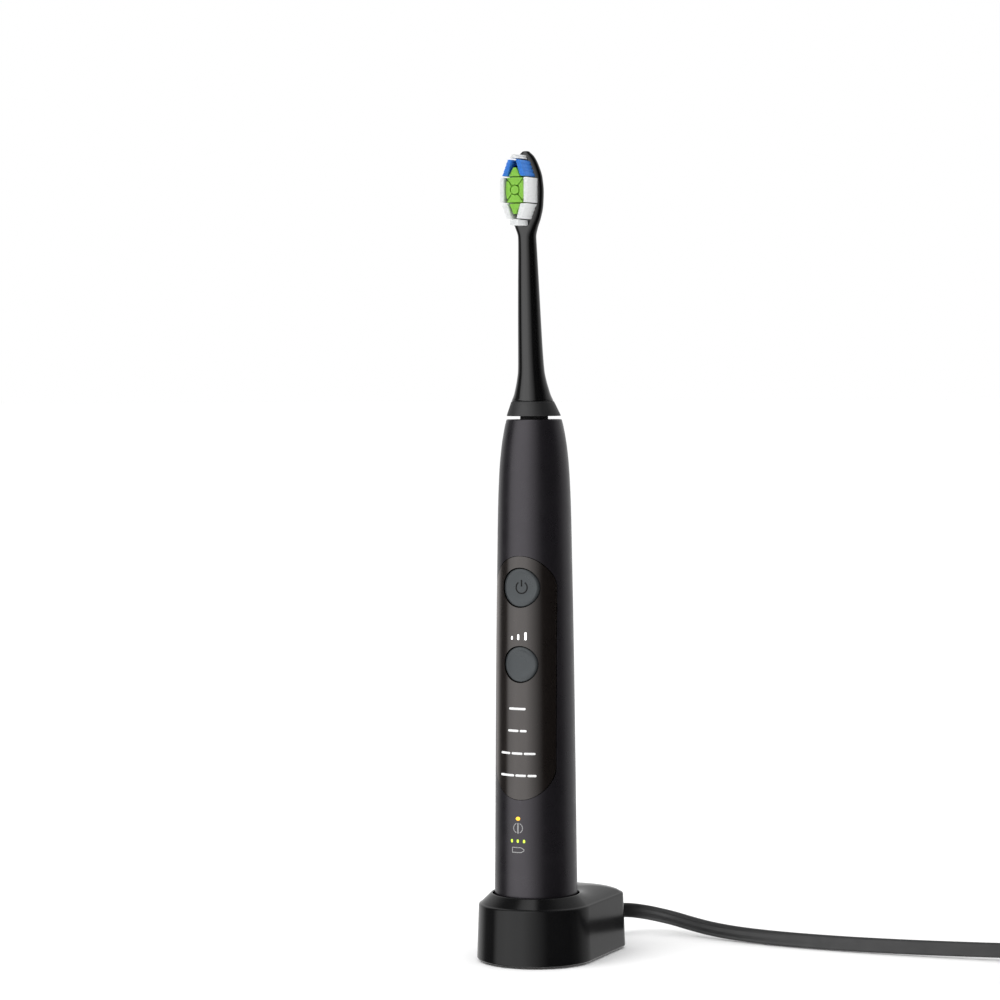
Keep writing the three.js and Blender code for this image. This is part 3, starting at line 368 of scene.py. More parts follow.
def lit(name, colour, strength):
    """A small lamp behind a diffusing window, a little brighter in its middle."""
    shader = Shader(name, 0.4)
    glow = shader.mix(shader.spread(shader.noise(1500, 2), 0, 1), [c * 0.85 for c in colour], colour)
    shader.set("Base Color", glow)
    shader.set("Emission Color", glow)
    shader.surface.inputs["Emission Strength"].default_value = strength
    return shader.material


def clear_guide(name):
    """Clear acrylic with a trace of flow marks."""
    shader = Shader(name, 0.12, ior=1.49)
    shader.surface.inputs["Transmission Weight"].default_value = 0.85
    shader.set("Base Color", shader.mix(
        shader.spread(shader.noise(150, 3), 0, 1), (0.9, 0.93, 0.9), (0.97, 0.98, 0.97),
    ))
    shader.bump(shader.noise(400, 3), 0.00002)
    return shader.material


def panel_gloss(name):
    """Gloss lacquer over a dark bronze metallic film."""
    shader = Shader(name, 0.3, metallic=0.6, coat=0.9, coat_roughness=0.14, tint=(1, 0.94, 0.91))
    flake = shader.noise(22000, 2, 0.5)
    shader.set("Base Color", shader.mix(
        shader.spread(flake, 0, 1), (0.009, 0.0068, 0.006), (0.0125, 0.0096, 0.0086),
    ))
    shader.set("Roughness", shader.spread(shader.noise(240, 5), 0.27, 0.34))
    shader.bump(shader.noise(90, 3), 0.00002, 0.3)
    return shader.material


def bristle(name, colour):
    """Nylon filament: glossy, slightly see-through, and not quite even in colour."""
    shader = Shader(name, 0.35)
    shader.set("Base Color", shader.mix(
        shader.spread(shader.noise(2500, 3), 0, 1),
        [c * 0.86 for c in colour], [min(1, c * 1.06) for c in colour],
    ))
    shader.set("Roughness", shader.spread(shader.noise(3000, 2), 0.4, 0.55))
    shader.bump(shader.noise(6000, 2), 0.00001)
    return shader.material


MATERIALS = {
    "charger_black": moulded(
        "charger_black", (0.004, 0.004, 0.0042), (0.008, 0.008, 0.008), 0.14, 0.000003, 5000, specular=0.22,
    ),
    "base_plastic": moulded("base_plastic", (0.03, 0.03, 0.032), (0.06, 0.06, 0.06), 0.55),
    "pad_rubber": moulded("pad_rubber", (0.022, 0.022, 0.022), (0.05, 0.05, 0.05), 0.9),
    "ferrite": moulded("ferrite", (0.05, 0.05, 0.055), (0.1, 0.1, 0.1), 0.7),
    "copper_winding": winding("copper_winding", (0.75, 0.32, 0.14)),
    "circuit_board": board("circuit_board"),
    "capacitor_can": moulded("capacitor_can", (0.03, 0.05, 0.12), (0.1, 0.12, 0.2), 0.3),
    "lead_rubber": moulded("lead_rubber", (0.009, 0.009, 0.0095), (0.02, 0.02, 0.02), 0.45, 0.00002, 5000),
    "plug_plastic": moulded("plug_plastic", (0.014, 0.014, 0.015), (0.04, 0.04, 0.04), 0.48, 0.00003, 5000),
    "plug_pin_metal": metal("plug_pin_metal", (0.78, 0.76, 0.7), 0.22),
    "tie_strap": moulded("tie_strap", (0.02, 0.02, 0.021), (0.05, 0.05, 0.05), 0.8, 0.00006, 3000),
    "handle_plastic": moulded(
        "handle_plastic", (0.0066, 0.0058, 0.0074), (0.018, 0.016, 0.02), 0.3, 0.000005, 9000,
        tint=(0.98, 0.93, 1),
    ),
    "panel_gloss": panel_gloss("panel_gloss"),
    # the buttons' lighter edge colour on their rounded lip, edges=(0.62, 0.75), is a painted highlight
    # standing in for the bright rim
    "button_grey": moulded(
        "button_grey", (0.026, 0.029, 0.031), (0.06, 0.062, 0.065), 0.3, 0.000006, 9000, edges=(0.62, 0.75),
        specular=0.42, tint=(0.92, 0.97, 1),
    ),
    "seal_rubber": moulded("seal_rubber", (0.01, 0.01, 0.011), (0.03, 0.03, 0.03), 0.75),
    "cap_plastic": moulded("cap_plastic", (0.016, 0.016, 0.018), (0.05, 0.05, 0.05), 0.5),
    "chassis_plastic": moulded("chassis_plastic", (0.6, 0.6, 0.57), (0.75, 0.75, 0.72), 0.5),
    "battery_sleeve": moulded("battery_sleeve", (0.05, 0.16, 0.36), (0.15, 0.25, 0.45), 0.35, coat=0.4),
    "contact_metal": metal("contact_metal", (0.8, 0.66, 0.4), 0.3),
    "switch_metal": metal("switch_metal", (0.7, 0.7, 0.68), 0.35),
    "light_guide_clear": clear_guide("light_guide_clear"),
    "motor_steel": metal("motor_steel", (0.5, 0.51, 0.53), 0.32),
    "bearing_bronze": metal("bearing_bronze", (0.7, 0.48, 0.24), 0.4),
    "magnet_metal": metal("magnet_metal", (0.4, 0.41, 0.43), 0.28),
    "shaft_steel": metal("shaft_steel", (0.75, 0.76, 0.78), 0.2),
    "brush_gloss": moulded("brush_gloss", (0.002, 0.002, 0.0021), (0.006, 0.006, 0.006), 0.1, 0.000002, 3000),
    "collar_matte": moulded("collar_matte", (0.009, 0.009, 0.0095), (0.02, 0.02, 0.02), 0.5, 0.00002, 9000),
    "insert_plastic": moulded("insert_plastic", (0.7, 0.7, 0.66), (0.8, 0.8, 0.78), 0.4),
    "bristle_white": bristle("bristle_white", (0.86, 0.87, 0.87)),
    "bristle_blue": bristle("bristle_blue", (0.05, 0.25, 0.74)),
    "bristle_green": bristle("bristle_green", (0.32, 0.66, 0.09)),
}
PRINTED = moulded("printed_white", (0.75, 0.75, 0.75), (0.8, 0.8, 0.8), 0.5)
PRINTED_DARK = moulded("printed_dark", (0.003, 0.003, 0.003), (0.006, 0.006, 0.006), 0.6, specular=0.2)
PRINTED_GREY = moulded("printed_grey", (0.3, 0.3, 0.3), (0.35, 0.35, 0.35), 0.5)
AMBER_LIGHT = lit("amber_light", (1.0, 0.48, 0.03), 1.1)
GREEN_LIGHT = lit("green_light", (0.5, 0.78, 0.05), 1.0)
WHITE_LIGHT = lit("white_light", (1.0, 1.0, 1.0), 1.2)

for part in frame["record"]["subparts"]:
    for holder in frame["nodes"][part["node"]].material_slots:
        holder.material = MATERIALS[part["material_slot"]]


# ---------- meshes ----------
def mesh_from(name, shape):
    """A closed mesh in metres, facing out, from a (vertices, faces) shape in millimetres."""
    vertices, faces = shape
    mesh = bpy.data.meshes.new(name)
    mesh.from_pydata([Vector(v) * MM for v in vertices], [], faces)
    bm = bmesh.new()
    bm.from_mesh(mesh)
    bmesh.ops.recalc_face_normals(bm, faces=bm.faces)
    bm.to_mesh(mesh)
    bm.free()
    return mesh


def place(mesh, name, body, slot, replaced=(), material=None, weighted=True):
    made = bpy.data.objects.new(name, mesh)
    scene.collection.objects.link(made)
    mesh.materials.clear()
    mesh.materials.append(material or MATERIALS[slot])
    mesh.shade_smooth()
    if weighted:
        made.modifiers.new("weighted", "WEIGHTED_NORMAL").keep_sharp = True
    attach(made, body)
    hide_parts(*replaced)
    return made


def piece(name, shape, body, slot, replaced=(), material=None):
    return place(mesh_from(name, shape), name, body, slot, replaced, material)


def joined(shapes):
    vertices, faces = [], []
    for more_vertices, more_faces in shapes:
        start = len(vertices)
        vertices += more_vertices
        faces += [tuple(start + k for k in face) for face in more_faces]
    return vertices, faces


def moved(shape, matrix):
    vertices, faces = shape
    return [matrix @ Vector(v) for v in vertices], faces


def loft(rings, closed=False):
    """Rings of the same number of points, joined into one skin.

    Both ends are filled, unless the rings close on themselves.
    """
    count = len(rings[0])
    vertices = [Vector(p) for points in rings for p in points]
    faces = []
    for row in range(len(rings) if closed else len(rings) - 1):
        here, there = row * count, (row + 1) % len(rings) * count
        for k in range(count):
            after = (k + 1) % count
            faces.append((here + k, here + after, there + after, there + k))
    if not closed:
        for start in (0, (len(rings) - 1) * count):
            middle = sum((vertices[start + k] for k in range(count)), Vector()) / count
            vertices.append(middle)
            faces += [(start + k, start + (k + 1) % count, len(vertices) - 1) for k in range(count)]
    return vertices, faces


def turned(outline, sides=SIDES):
    """An outline of (radius, height) turned about Z. It closes on itself unless it starts on the axis."""
    on_axis = outline[0][0] == 0
    rings = [
        [Vector((r * math.cos(a), r * math.sin(a), z)) for a in steps(0, 2 * math.pi, sides)[:-1]]
        for r, z in (outline[1:-1] if on_axis else outline)
    ]
    return loft(rings, closed=not on_axis)


def steps(start, end, count):
    return [start + (end - start) * k / count for k in range(count + 1)]


def rounded(corners, count=5):
    """Corners of (x, y, radius) on a closed outline, each turned into an arc."""
    outline = []
    for k, (x, y, radius) in enumerate(corners):
        here = Vector((x, y))
        if radius == 0:
            outline.append((x, y))
            continue
        back = (Vector(corners[k - 1][:2]) - here).normalized()
        on = (Vector(corners[(k + 1) % len(corners)][:2]) - here).normalized()
        half = back.angle(on) / 2
        centre = here + (back + on).normalized() * radius / math.sin(half)
        first = here + back * radius / math.tan(half) - centre
        last = here + on * radius / math.tan(half) - centre
        swing = math.pi - 2 * half
        for share in steps(0, 1, count):
            arm = (first * math.sin(swing * (1 - share)) + last * math.sin(swing * share)) / math.sin(swing)
            outline.append(tuple(centre + arm))
    return outline


def section(half_width, half_depth, y, z, squareness, sides):
    """A rounded outline in the XY plane; a squareness of 2 is an ellipse."""
    power = 2 / squareness
    points = []
    for angle in steps(0, 2 * math.pi, sides)[:-1]:
        across, along = math.cos(angle), math.sin(angle)
        points.append(Vector((
            half_width * math.copysign(abs(across) ** power, across),
            y + half_depth * math.copysign(abs(along) ** power, along),
            z,
        )))
    return points


def curve_through(rows):
    """A smooth curve through rows of (position, values...), without overshoot: a function of the position."""
    places = [row[0] for row in rows]
    gaps = [b - a for a, b in zip(places, places[1:])]

    def slopes(column):
        rises = [(b[column] - a[column]) / gap for a, b, gap in zip(rows, rows[1:], gaps)]
        inner = [0 if a * b <= 0 else 2 * a * b / (a + b) for a, b in zip(rises, rises[1:])]
        return [rises[0], *inner, rises[-1]]

    columns = range(1, len(rows[0]))
    slope = {column: slopes(column) for column in columns}

    def values(position):
        k = max(0, min(len(gaps) - 1, sum(1 for p in places[1:] if p <= position)))
        gap = gaps[k]
        t = min(1, max(0, (position - places[k]) / gap))
        return [
            rows[k][c] * (1 + 2 * t) * (1 - t) ** 2 + slope[c][k] * gap * t * (1 - t) ** 2
            + rows[k + 1][c] * t * t * (3 - 2 * t) + slope[c][k + 1] * gap * t * t * (t - 1)
            for c in columns
        ]

    return values


def combined(target, other, operation):
    """The mesh that is left when another mesh is cut from, or crossed with, the target."""
    subject = bpy.data.objects.new("subject", target)
    tool = bpy.data.objects.new("tool", other)
    for each in (subject, tool):
        scene.collection.objects.link(each)
    cut = subject.modifiers.new("cut", "BOOLEAN")
    cut.object = tool
    cut.operation = operation
    cut.solver = "EXACT"
    bpy.context.view_layer.update()
    made = bpy.data.meshes.new_from_object(subject.evaluated_get(bpy.context.evaluated_depsgraph_get()))
    for each in (subject, tool):
        bpy.data.objects.remove(each)
    return made


def chamfered(mesh, width, angle=40):
    """The mesh with its sharp edges broken."""
    subject = bpy.data.objects.new("subject", mesh)
    scene.collection.objects.link(subject)
    bevel = subject.modifiers.new("bevel", "BEVEL")
    bevel.width = width * MM
    bevel.segments = 2
    bevel.angle_limit = math.radians(angle)
    bpy.context.view_layer.update()
    made = bpy.data.meshes.new_from_object(subject.evaluated_get(bpy.context.evaluated_depsgraph_get()))
    bpy.data.objects.remove(subject)
    return made


# ---------- camera, light and floor ----------
def camera():
    view = bpy.data.cameras.new("camera")
    view.lens = CAMERA_LENS
    view.sensor_width = 36
    view.clip_end = 20
    seen = bpy.data.objects.new("camera", view)
    scene.collection.objects.link(seen)
    seen.location = (
        CAMERA_DISTANCE * math.sin(CAMERA_AZIMUTH), -CAMERA_DISTANCE * math.cos(CAMERA_AZIMUTH),
        CAMERA_HEIGHT,
    )
    heading = CAMERA_AZIMUTH + CAMERA_YAW
    ahead = Vector((-math.sin(heading), math.cos(heading), -math.tan(CAMERA_PITCH)))
    upright = ahead.to_track_quat("-Z", "Y").to_matrix()
    seen.rotation_euler = (Matrix.Rotation(CAMERA_ROLL, 3, ahead) @ upright).to_euler()
    scene.camera = seen


def studio():
    """An even white tent. A gloss surface mirrors its bright left, dark front right and grey right side."""
    world = bpy.data.worlds.new("studio")
    scene.world = world
    world.use_nodes = True
    nodes, links = world.node_tree.nodes, world.node_tree.links
    nodes.clear()

    def light(colour, strength):
        made = nodes.new("ShaderNodeBackground")
        made.inputs["Strength"].default_value = strength
        if isinstance(colour, bpy.types.NodeSocket):
            links.new(colour, made.inputs["Color"])
        else:
            made.inputs["Color"].default_value = colour
        return made.outputs[0]

    def chosen(share, otherwise, when):
        made = nodes.new("ShaderNodeMixShader")
        for socket, value in zip(made.inputs, (share, otherwise, when)):
            links.new(value, socket)
        return made.outputs[0]

    direction = nodes.new("ShaderNodeTexCoord").outputs["Generated"]
    turned_round = nodes.new("ShaderNodeMapping")
    turned_round.inputs["Rotation"].default_value = (0, 0, math.pi / 2 - CAMERA_AZIMUTH)
    links.new(direction, turned_round.inputs["Vector"])
    round_it = nodes.new("ShaderNodeTexGradient")
    round_it.gradient_type = "RADIAL"
    links.new(turned_round.outputs[0], round_it.inputs["Vector"])
    ramp = nodes.new("ShaderNodeValToRGB")
    links.new(round_it.outputs["Fac"], ramp.inputs["Fac"])
    stops = ramp.color_ramp.elements
    for azimuth, brightness in MIRRORED:
        share = 0.5 + azimuth / 360
        stop = stops.new(share) if 0 < share < 1 else stops[0 if share == 0 else len(stops) - 1]
        stop.color = (brightness / MIRRORED_PEAK,) * 3 + (1,)

    seen = nodes.new("ShaderNodeLightPath").outputs
    tent, mirrored_tent = light((1, 1, 1, 1), TENT_LIGHT), light(ramp.outputs["Color"], MIRRORED_PEAK)
    gloss = chosen(seen["Is Glossy Ray"], tent, mirrored_tent)
    whole = chosen(seen["Is Camera Ray"], gloss, light((1, 1, 1, 1), 1.0))
    links.new(whole, nodes.new("ShaderNodeOutputWorld").inputs["Surface"])

    key = bpy.data.lights.new("key", "AREA")
    key.shape = "DISK"
    key.size = LAMP_SIZE
    key.energy = LAMP_POWER
    lamp = bpy.data.objects.new("key", key)
    scene.collection.objects.link(lamp)
    lamp.location = LAMP_PLACE
    lamp.rotation_euler = (LAMP_AIM - lamp.location).to_track_quat("-Z", "Y").to_euler()
    lamp.visible_glossy = False

    floor = bpy.data.meshes.new("floor")
    corners = [(x * FLOOR_HALF, y * FLOOR_HALF, 0) for x, y in ((-1, -1), (1, -1), (1, 1), (-1, 1))]
    floor.from_pydata(corners, [], [(0, 1, 2, 3)])
    made = bpy.data.objects.new("floor", floor)
    scene.collection.objects.link(made)
    shader = Shader("floor", 1.0)
    shader.surface.inputs["Specular IOR Level"].default_value = 0.0
    shader.set("Base Color", shader.mix(shader.noise(3, 3), (0.93, 0.93, 0.93), (0.95, 0.95, 0.95)))
    floor.materials.append(shader.material)
    made.visible_glossy = False
    scene.view_settings.view_transform = "Standard"


# ---------- lead, coil and plug ----------
def catmull(points, count):
    """A smooth path through points, with the given number of steps between each two."""
    knots = [Vector(p) for p in points]
    knots = [2 * knots[0] - knots[1], *knots, 2 * knots[-1] - knots[-2]]
    path = []
    for a, b, c, d in zip(knots, knots[1:], knots[2:], knots[3:]):
        for t in steps(0, 1, count)[:-1]:
            path.append(0.5 * (2 * b + (c - a) * t + (2 * a - 5 * b + 4 * c - d) * t ** 2
                               + (3 * b - a - 3 * c + d) * t ** 3))
    return [*path, knots[-2]]


def eased(value, start, end):
    t = min(1, max(0, (value - start) / (end - start)))
    return t * t * (3 - 2 * t)


def coil_point(turn):
    """A point on the coil. The lower layer steps in turn by turn, climbs, and the upper layer steps out."""
    share = turn % 1
    whole = int(turn)
    outer = TAIL_START_RADIUS
    if turn < 3:
        inward = min(2, whole + eased(share, 0.92, 1))
        radius = outer - inward * COIL_TURN_PITCH
        rise = eased(turn, 2.8, 2.92)
    else:
        outward = min(2, whole - 3 + eased(share, 0.7, 0.8))
        radius = outer - (2 - outward) * COIL_TURN_PITCH
        rise = 1
    angle = math.radians(COIL_START) - 2 * math.pi * turn
    low = COIL_BOTTOM + COIL_LAYER / 2
    return Vector((
        COIL_CENTRE.x + radius * math.cos(angle), COIL_CENTRE.y + radius * math.sin(angle),
        low + rise * COIL_LAYER,
    ))


def beside_coil(outward, along, z):
    """A point beside the coil: out from its centre, and along its turns, where the tail turns in."""
    angle = math.radians(TAIL_ANGLE)
    out = Vector((math.cos(angle), math.sin(angle)))
    return Vector((
        COIL_CENTRE.x + outward * out.x + along * out.y, COIL_CENTRE.y + outward * out.y - along * out.x, z,
    ))


TAIL_TOP = COIL_TOP + GAP + CORD_WIDTH / 2
PLUG_AXIS = COIL_TOP + GAP + PLUG_SECTIONS[-1][2]


def tail_points():
    """Up along the coil, then inwards over it to the plug."""
    layer = COIL_TOP - CORD_WIDTH / 2
    points = []
    for share in steps(0, 1, 8)[:-1]:
        angle = math.radians(TAIL_RAMP * (1 - share))
        points.append(beside_coil(
            TAIL_START_RADIUS * math.cos(angle), -TAIL_START_RADIUS * math.sin(angle),
            layer + (TAIL_TOP - layer) * eased(share, 0, 1),
        ))
    for turn in steps(0, 90, 8):
        angle = math.radians(turn)
        points.append(beside_coil(
            TAIL_START_RADIUS - TAIL_BEND * (1 - math.cos(angle)), TAIL_BEND * math.sin(angle),
            TAIL_TOP + (PLUG_AXIS - TAIL_TOP) * (turn / 90) ** 2,
        ))
    points.append(beside_coil(TAIL_START_RADIUS - TAIL_BEND - TAIL_STRAIGHT, TAIL_BEND, PLUG_AXIS))
    return points


def flat_section(sides=10):
    """The outline of a two-core flat lead: two round cores side by side, with a groove between them."""
    core = CORD_THICKNESS / 2
    spread = CORD_WIDTH / 2 - core
    right = [(spread + core * math.cos(a), core * math.sin(a))
             for a in steps(-math.radians(128), math.radians(128), sides)]
    return [*right, *[(-x, -y) for x, y in right]]


def cord_tube(path, twists):
    """The lead's skin along a path, on its edge, turned about its own line by an angle at each point."""
    outline = flat_section()
    rings = []
    for k, point in enumerate(path):
        ahead = (path[min(k + 1, len(path) - 1)] - path[max(k - 1, 0)]).normalized()
        side = ahead.cross(Vector((0, 0, 1))).normalized()
        above = side.cross(ahead)
        turn = twists[k]
        wide = above * math.cos(turn) + side * math.sin(turn)
        thin = side * math.cos(turn) - above * math.sin(turn)
        rings.append([point + wide * x + thin * y for x, y in outline])
    return loft(rings)


def lead():
    visible = catmull(LEAD_POINTS, 6)
    coil = [coil_point(turn) for turn in steps(0, COIL_TURNS, 400)]
    tail = catmull(tail_points(), 3)
    path = [*visible[:-1], *coil[:-1], *tail]
    flat_from = len(path) - len(tail) // 2
    twists = [math.pi / 2 * eased(k, flat_from, len(path) - 3) for k in range(len(path))]
    cord = piece("flat_lead", cord_tube(path, twists), "charger", "lead_rubber",
                 ["lead_cord", "lead_coil", "lead_tail"])
    relief = piece("strain_relief_sleeve", strain_relief(), "charger", "lead_rubber", ["strain_relief"])
    tie = piece("tie_strap", tie_strap(), "charger", "tie_strap", ["cord_tie"])
    grip = piece("plug_grip", plug_grip(), "charger", "plug_plastic", ["plug_body"])
    pins = [
        piece(f"plug_prong_{side}", plug_pin(sign), "charger", "plug_pin_metal", [f"plug_pin_{side}"])
        for side, sign in (("left", -1), ("right", 1))
    ]


def relief_ring(share, growth, sides=40):
    bend = share * RELIEF_LENGTH / RELIEF_BEND
    width = RELIEF_HALF_WIDTH - share + growth
    height = RELIEF_HALF_HEIGHT - RELIEF_HEIGHT_TAPER * share + growth
    across = Vector((math.cos(bend), -math.sin(bend), 0))
    centre = Vector((
        RELIEF_BEND * (1 - math.cos(bend)), CHARGER_REAR + RELIEF_BEND * math.sin(bend),
        EXIT_HEIGHT - RELIEF_DROP * share ** 2,
    ))
    return [centre + across * p.x + Vector((0, 0, p.y)) for p in section(width, height, 0, 0, 2.6, sides)]


def strain_relief():
    """A tapered sleeve with flexing grooves, bent with the lead."""
    rings = [relief_ring(-0.08, 0), relief_ring(0.02, 0)]
    for rib in range(RELIEF_RIBS):
        start = 0.06 + rib * 0.12
        for share, growth in ((0, 0), (0.012, -0.5), (0.03, -0.6), (0.048, -0.5), (0.06, 0)):
            rings.append(relief_ring(start + share, growth))
    rings += [relief_ring(0.93, 0), relief_ring(0.985, -0.05), relief_ring(1, -0.25)]
    return loft(rings)


def tie_strap():
    """A strap round the turns, with rounded corners."""
    half_height = (COIL_TOP - COIL_BOTTOM) / 2 + GAP
    half_turns = COIL_TURN_PITCH * 1.5
    bow = TIE_WIDTH ** 2 / (8 * (COIL_MIDDLE_RADIUS - half_turns))  # of the turns inside the tie
    half_across = half_turns + bow + GAP

    def loop(growth, radius):
        a, b = half_across + growth, half_height + growth
        return rounded([(-a, -b, radius), (a, -b, radius), (a, b, radius), (-a, b, radius)])

    inner, outer = loop(0, 0.6), loop(TIE_THICKNESS, 1.4)
    edge = TIE_WIDTH / 2
    rings = [
        [Vector((x, side, z)) for x, z in outline]
        for outline, side in ((inner, -edge), (outer, -edge), (outer, edge), (inner, edge))
    ]
    centre = beside_coil(0, -COIL_MIDDLE_RADIUS, (COIL_TOP + COIL_BOTTOM) / 2)
    turn = Matrix.Rotation(math.radians(TAIL_ANGLE + 90), 4, "Z")
    return moved(loft(rings, closed=True), Matrix.Translation(centre) @ turn)


def at_plug(shape):
    """Points a shape made along +Z along the plug, and puts it at the end of the lead."""
    end = beside_coil(TAIL_START_RADIUS - TAIL_BEND - TAIL_STRAIGHT - GAP, TAIL_BEND, PLUG_AXIS)
    tip = Matrix.Rotation(-math.pi / 2, 4, "Y")
    turn = Matrix.Rotation(math.radians(TAIL_ANGLE), 4, "Z")
    return moved(shape, Matrix.Translation(end) @ turn @ tip)


def plug_grip():
    sizes = curve_through(PLUG_SECTIONS)
    length = PLUG_SECTIONS[-1][0]
    rings = []
    for z in steps(0, length - PLUG_ROUNDING, 38):
        width, thickness, squareness = sizes(z)
        rib = RIB_DEPTH * math.sin(z * math.pi) ** 2 if RIBS_FROM < z < RIBS_TO else 0
        rings.append(section(thickness - rib, width - rib, 0, z, squareness, 48))
    width, thickness, squareness = sizes(length)
    for angle in steps(0, math.pi / 2, 4)[1:]:
        inset = PLUG_ROUNDING * (1 - math.cos(angle))
        z = length - PLUG_ROUNDING * (1 - math.sin(angle))
        rings.append(section(thickness - inset, width - inset, 0, z, squareness, 48))
    return at_plug(loft(rings))


def plug_pin(side):
    start = PLUG_SECTIONS[-1][0]
    end = start + GAP + PIN_LENGTH
    outline = rounded([(0, start, 0), (PIN_RADIUS, start, 0), (PIN_RADIUS, end, 1.2), (0, end, 0)])
    pin = turned(outline, 32)
    return at_plug(moved(pin, Matrix.Translation((0, side * PIN_SPACING / 2, 0))))


# ---------- charger ----------
def plan(inset, z):
    """The U-shaped plan of the charger: round at the front, square with round corners at the back."""
    corner = REAR_CORNER - inset
    x, y = CHARGER_RADIUS - REAR_CORNER, CHARGER_REAR - REAR_CORNER
    points = []
    for centre, radius, start, end, count in (
        (Vector((0, 0, z)), CHARGER_RADIUS - inset, 180, 360, 96),
        (Vector((x, y, z)), corner, 0, 90, 20), (Vector((-x, y, z)), corner, 90, 180, 20),
    ):
        for angle in steps(math.radians(start), math.radians(end), count):
            points.append(centre + radius * Vector((math.cos(angle), math.sin(angle), 0)))
    spaced = []
    for k, point in enumerate(points):
        spaced.append(point)
        after = points[(k + 1) % len(points)]
        gap = (after - point).length
        if gap > 3:
            spaced += [point.lerp(after, share) for share in steps(0, 1, 8)[1:-1]]
    return spaced


def circle_under(radius, z):
    return [Vector((p.x, p.y, 0)).normalized() * radius + Vector((0, 0, z)) for p in plan(0, z)]


def charger_shell():
    """One skin: down inside the post, over the cavity, round the foot, up the wall, and over the nest."""
    cavity_top = CREASE_HEIGHT - CHARGER_WALL
    wall_radius = NEST_RADIUS + RIM_WIDTH
    rings = [
        circle_under(POST_BORE, POST_TOP - POST_WALL), circle_under(POST_BORE, cavity_top),
        plan(CHARGER_WALL + WALL_DRAFT, cavity_top), plan(CHARGER_WALL, SHELL_BOTTOM),
    ]
    for angle in steps(0, 90, 4):
        turn = math.radians(angle)
        rings.append(plan(
            FOOT_ROUNDING * (1 - math.sin(turn)), SHELL_BOTTOM + FOOT_ROUNDING * (1 - math.cos(turn)),
        ))
    wall_height = CREASE_HEIGHT - CREASE_ROUNDING - SHELL_BOTTOM
    for share in steps(0, 1, 6)[1:]:
        rings.append(plan(WALL_DRAFT * share, SHELL_BOTTOM + wall_height * share))
    for angle in steps(0, 80, 6)[1:]:
        turn = math.radians(angle)
        rings.append(plan(WALL_DRAFT + CREASE_ROUNDING * (1 - math.cos(turn)),
                          CREASE_HEIGHT - CREASE_ROUNDING * (1 - math.sin(turn))))
    crease, rim = rings[-1], circle_under(wall_radius, RIM_HEIGHT)
    for share in steps(0, 1, 12)[1:]:
        bulge = TOP_BULGE * (share * (1 - share) * 4) ** 0.7
        rings.append([
            a.lerp(b, share) + Vector((0, 0, bulge * eased(a.y, 0, CHARGER_REAR)))
            for a, b in zip(crease, rim)
        ])
    nest = rounded([
        (wall_radius, RIM_HEIGHT, 0), (NEST_RADIUS, RIM_HEIGHT, 0.3), (NEST_RADIUS, NEST_FLOOR, 0.5),
        (POST_RADIUS, NEST_FLOOR, 0.8), (POST_RADIUS, POST_TOP, 1.0), (0, POST_TOP, 0),
    ])[1:-1]
    rings += [circle_under(radius, z) for radius, z in nest]
    return loft(rings)


# ---------- handle ----------
handle_curve = curve_through([(HANDLE_BOTTOM + height, radius) for height, radius in HANDLE_PROFILE])


def handle_radius(z):
    return handle_curve(z)[0]


def handle_levels(low, high, count):
    return [(handle_radius(z), z) for z in steps(low, high, count)]


def handle_body(offset, low, high, count=60):
    """The handle's outside, moved in or out, as a solid between two heights."""
    wall = [(radius + offset, z) for radius, z in handle_levels(low, high, count)]
    return mesh_from("body", turned([(0, low), *wall, (0, high)]))


def front_bar(outline):
    """An outline of (x, z) made into a bar along Y, through the front of the handle."""
    return mesh_from("bar", loft([[Vector((x, -y, z)) for x, z in outline] for y in (BAR_NEAR, BAR_FAR)]))


def stadium(inset, count=48):
    radius = PANEL_HALF_WIDTH - inset
    low = HANDLE_BOTTOM + PANEL_BOTTOM + PANEL_HALF_WIDTH
    high = HANDLE_BOTTOM + PANEL_TOP - PANEL_HALF_WIDTH
    ends = [(low, angle) for angle in steps(math.pi, 2 * math.pi, count)]
    ends += [(high, angle) for angle in steps(0, math.pi, count)]
    return [(radius * math.cos(angle), z + radius * math.sin(angle)) for z, angle in ends]


def disc(radius, z, count=96):
    return [(radius * math.cos(a), z + radius * math.sin(a)) for a in steps(0, 2 * math.pi, count)[:-1]]


def skin_normals(mesh, offset):
    """Shades the faces that lie on the handle's outside as the true curve, and every other face flat."""
    normals = []
    for face in mesh.polygons:
        centre = face.center / MM
        radius = handle_radius(centre.z) + offset
        across = math.hypot(centre.x, centre.y)
        outward = Vector((centre.x, centre.y, 0)).normalized()
        on_skin = abs(across - radius) < SKIN_TOLERANCE and face.normal.dot(outward) > SKIN_FACING
        for k in face.loop_indices:
            if not on_skin:
                normals.append(face.normal.copy())
                continue
            at = mesh.vertices[mesh.loops[k].vertex_index].co / MM
            lean = handle_radius(at.z + 0.5) - handle_radius(at.z - 0.5)
            normals.append(Vector((at.x, at.y, -lean * math.hypot(at.x, at.y))).normalized())
    mesh.shade_smooth()
    mesh.normals_split_custom_set(normals)


PANEL_LOW = HANDLE_BOTTOM + PANEL_BOTTOM - 1
PANEL_HIGH = HANDLE_BOTTOM + PANEL_TOP + 1


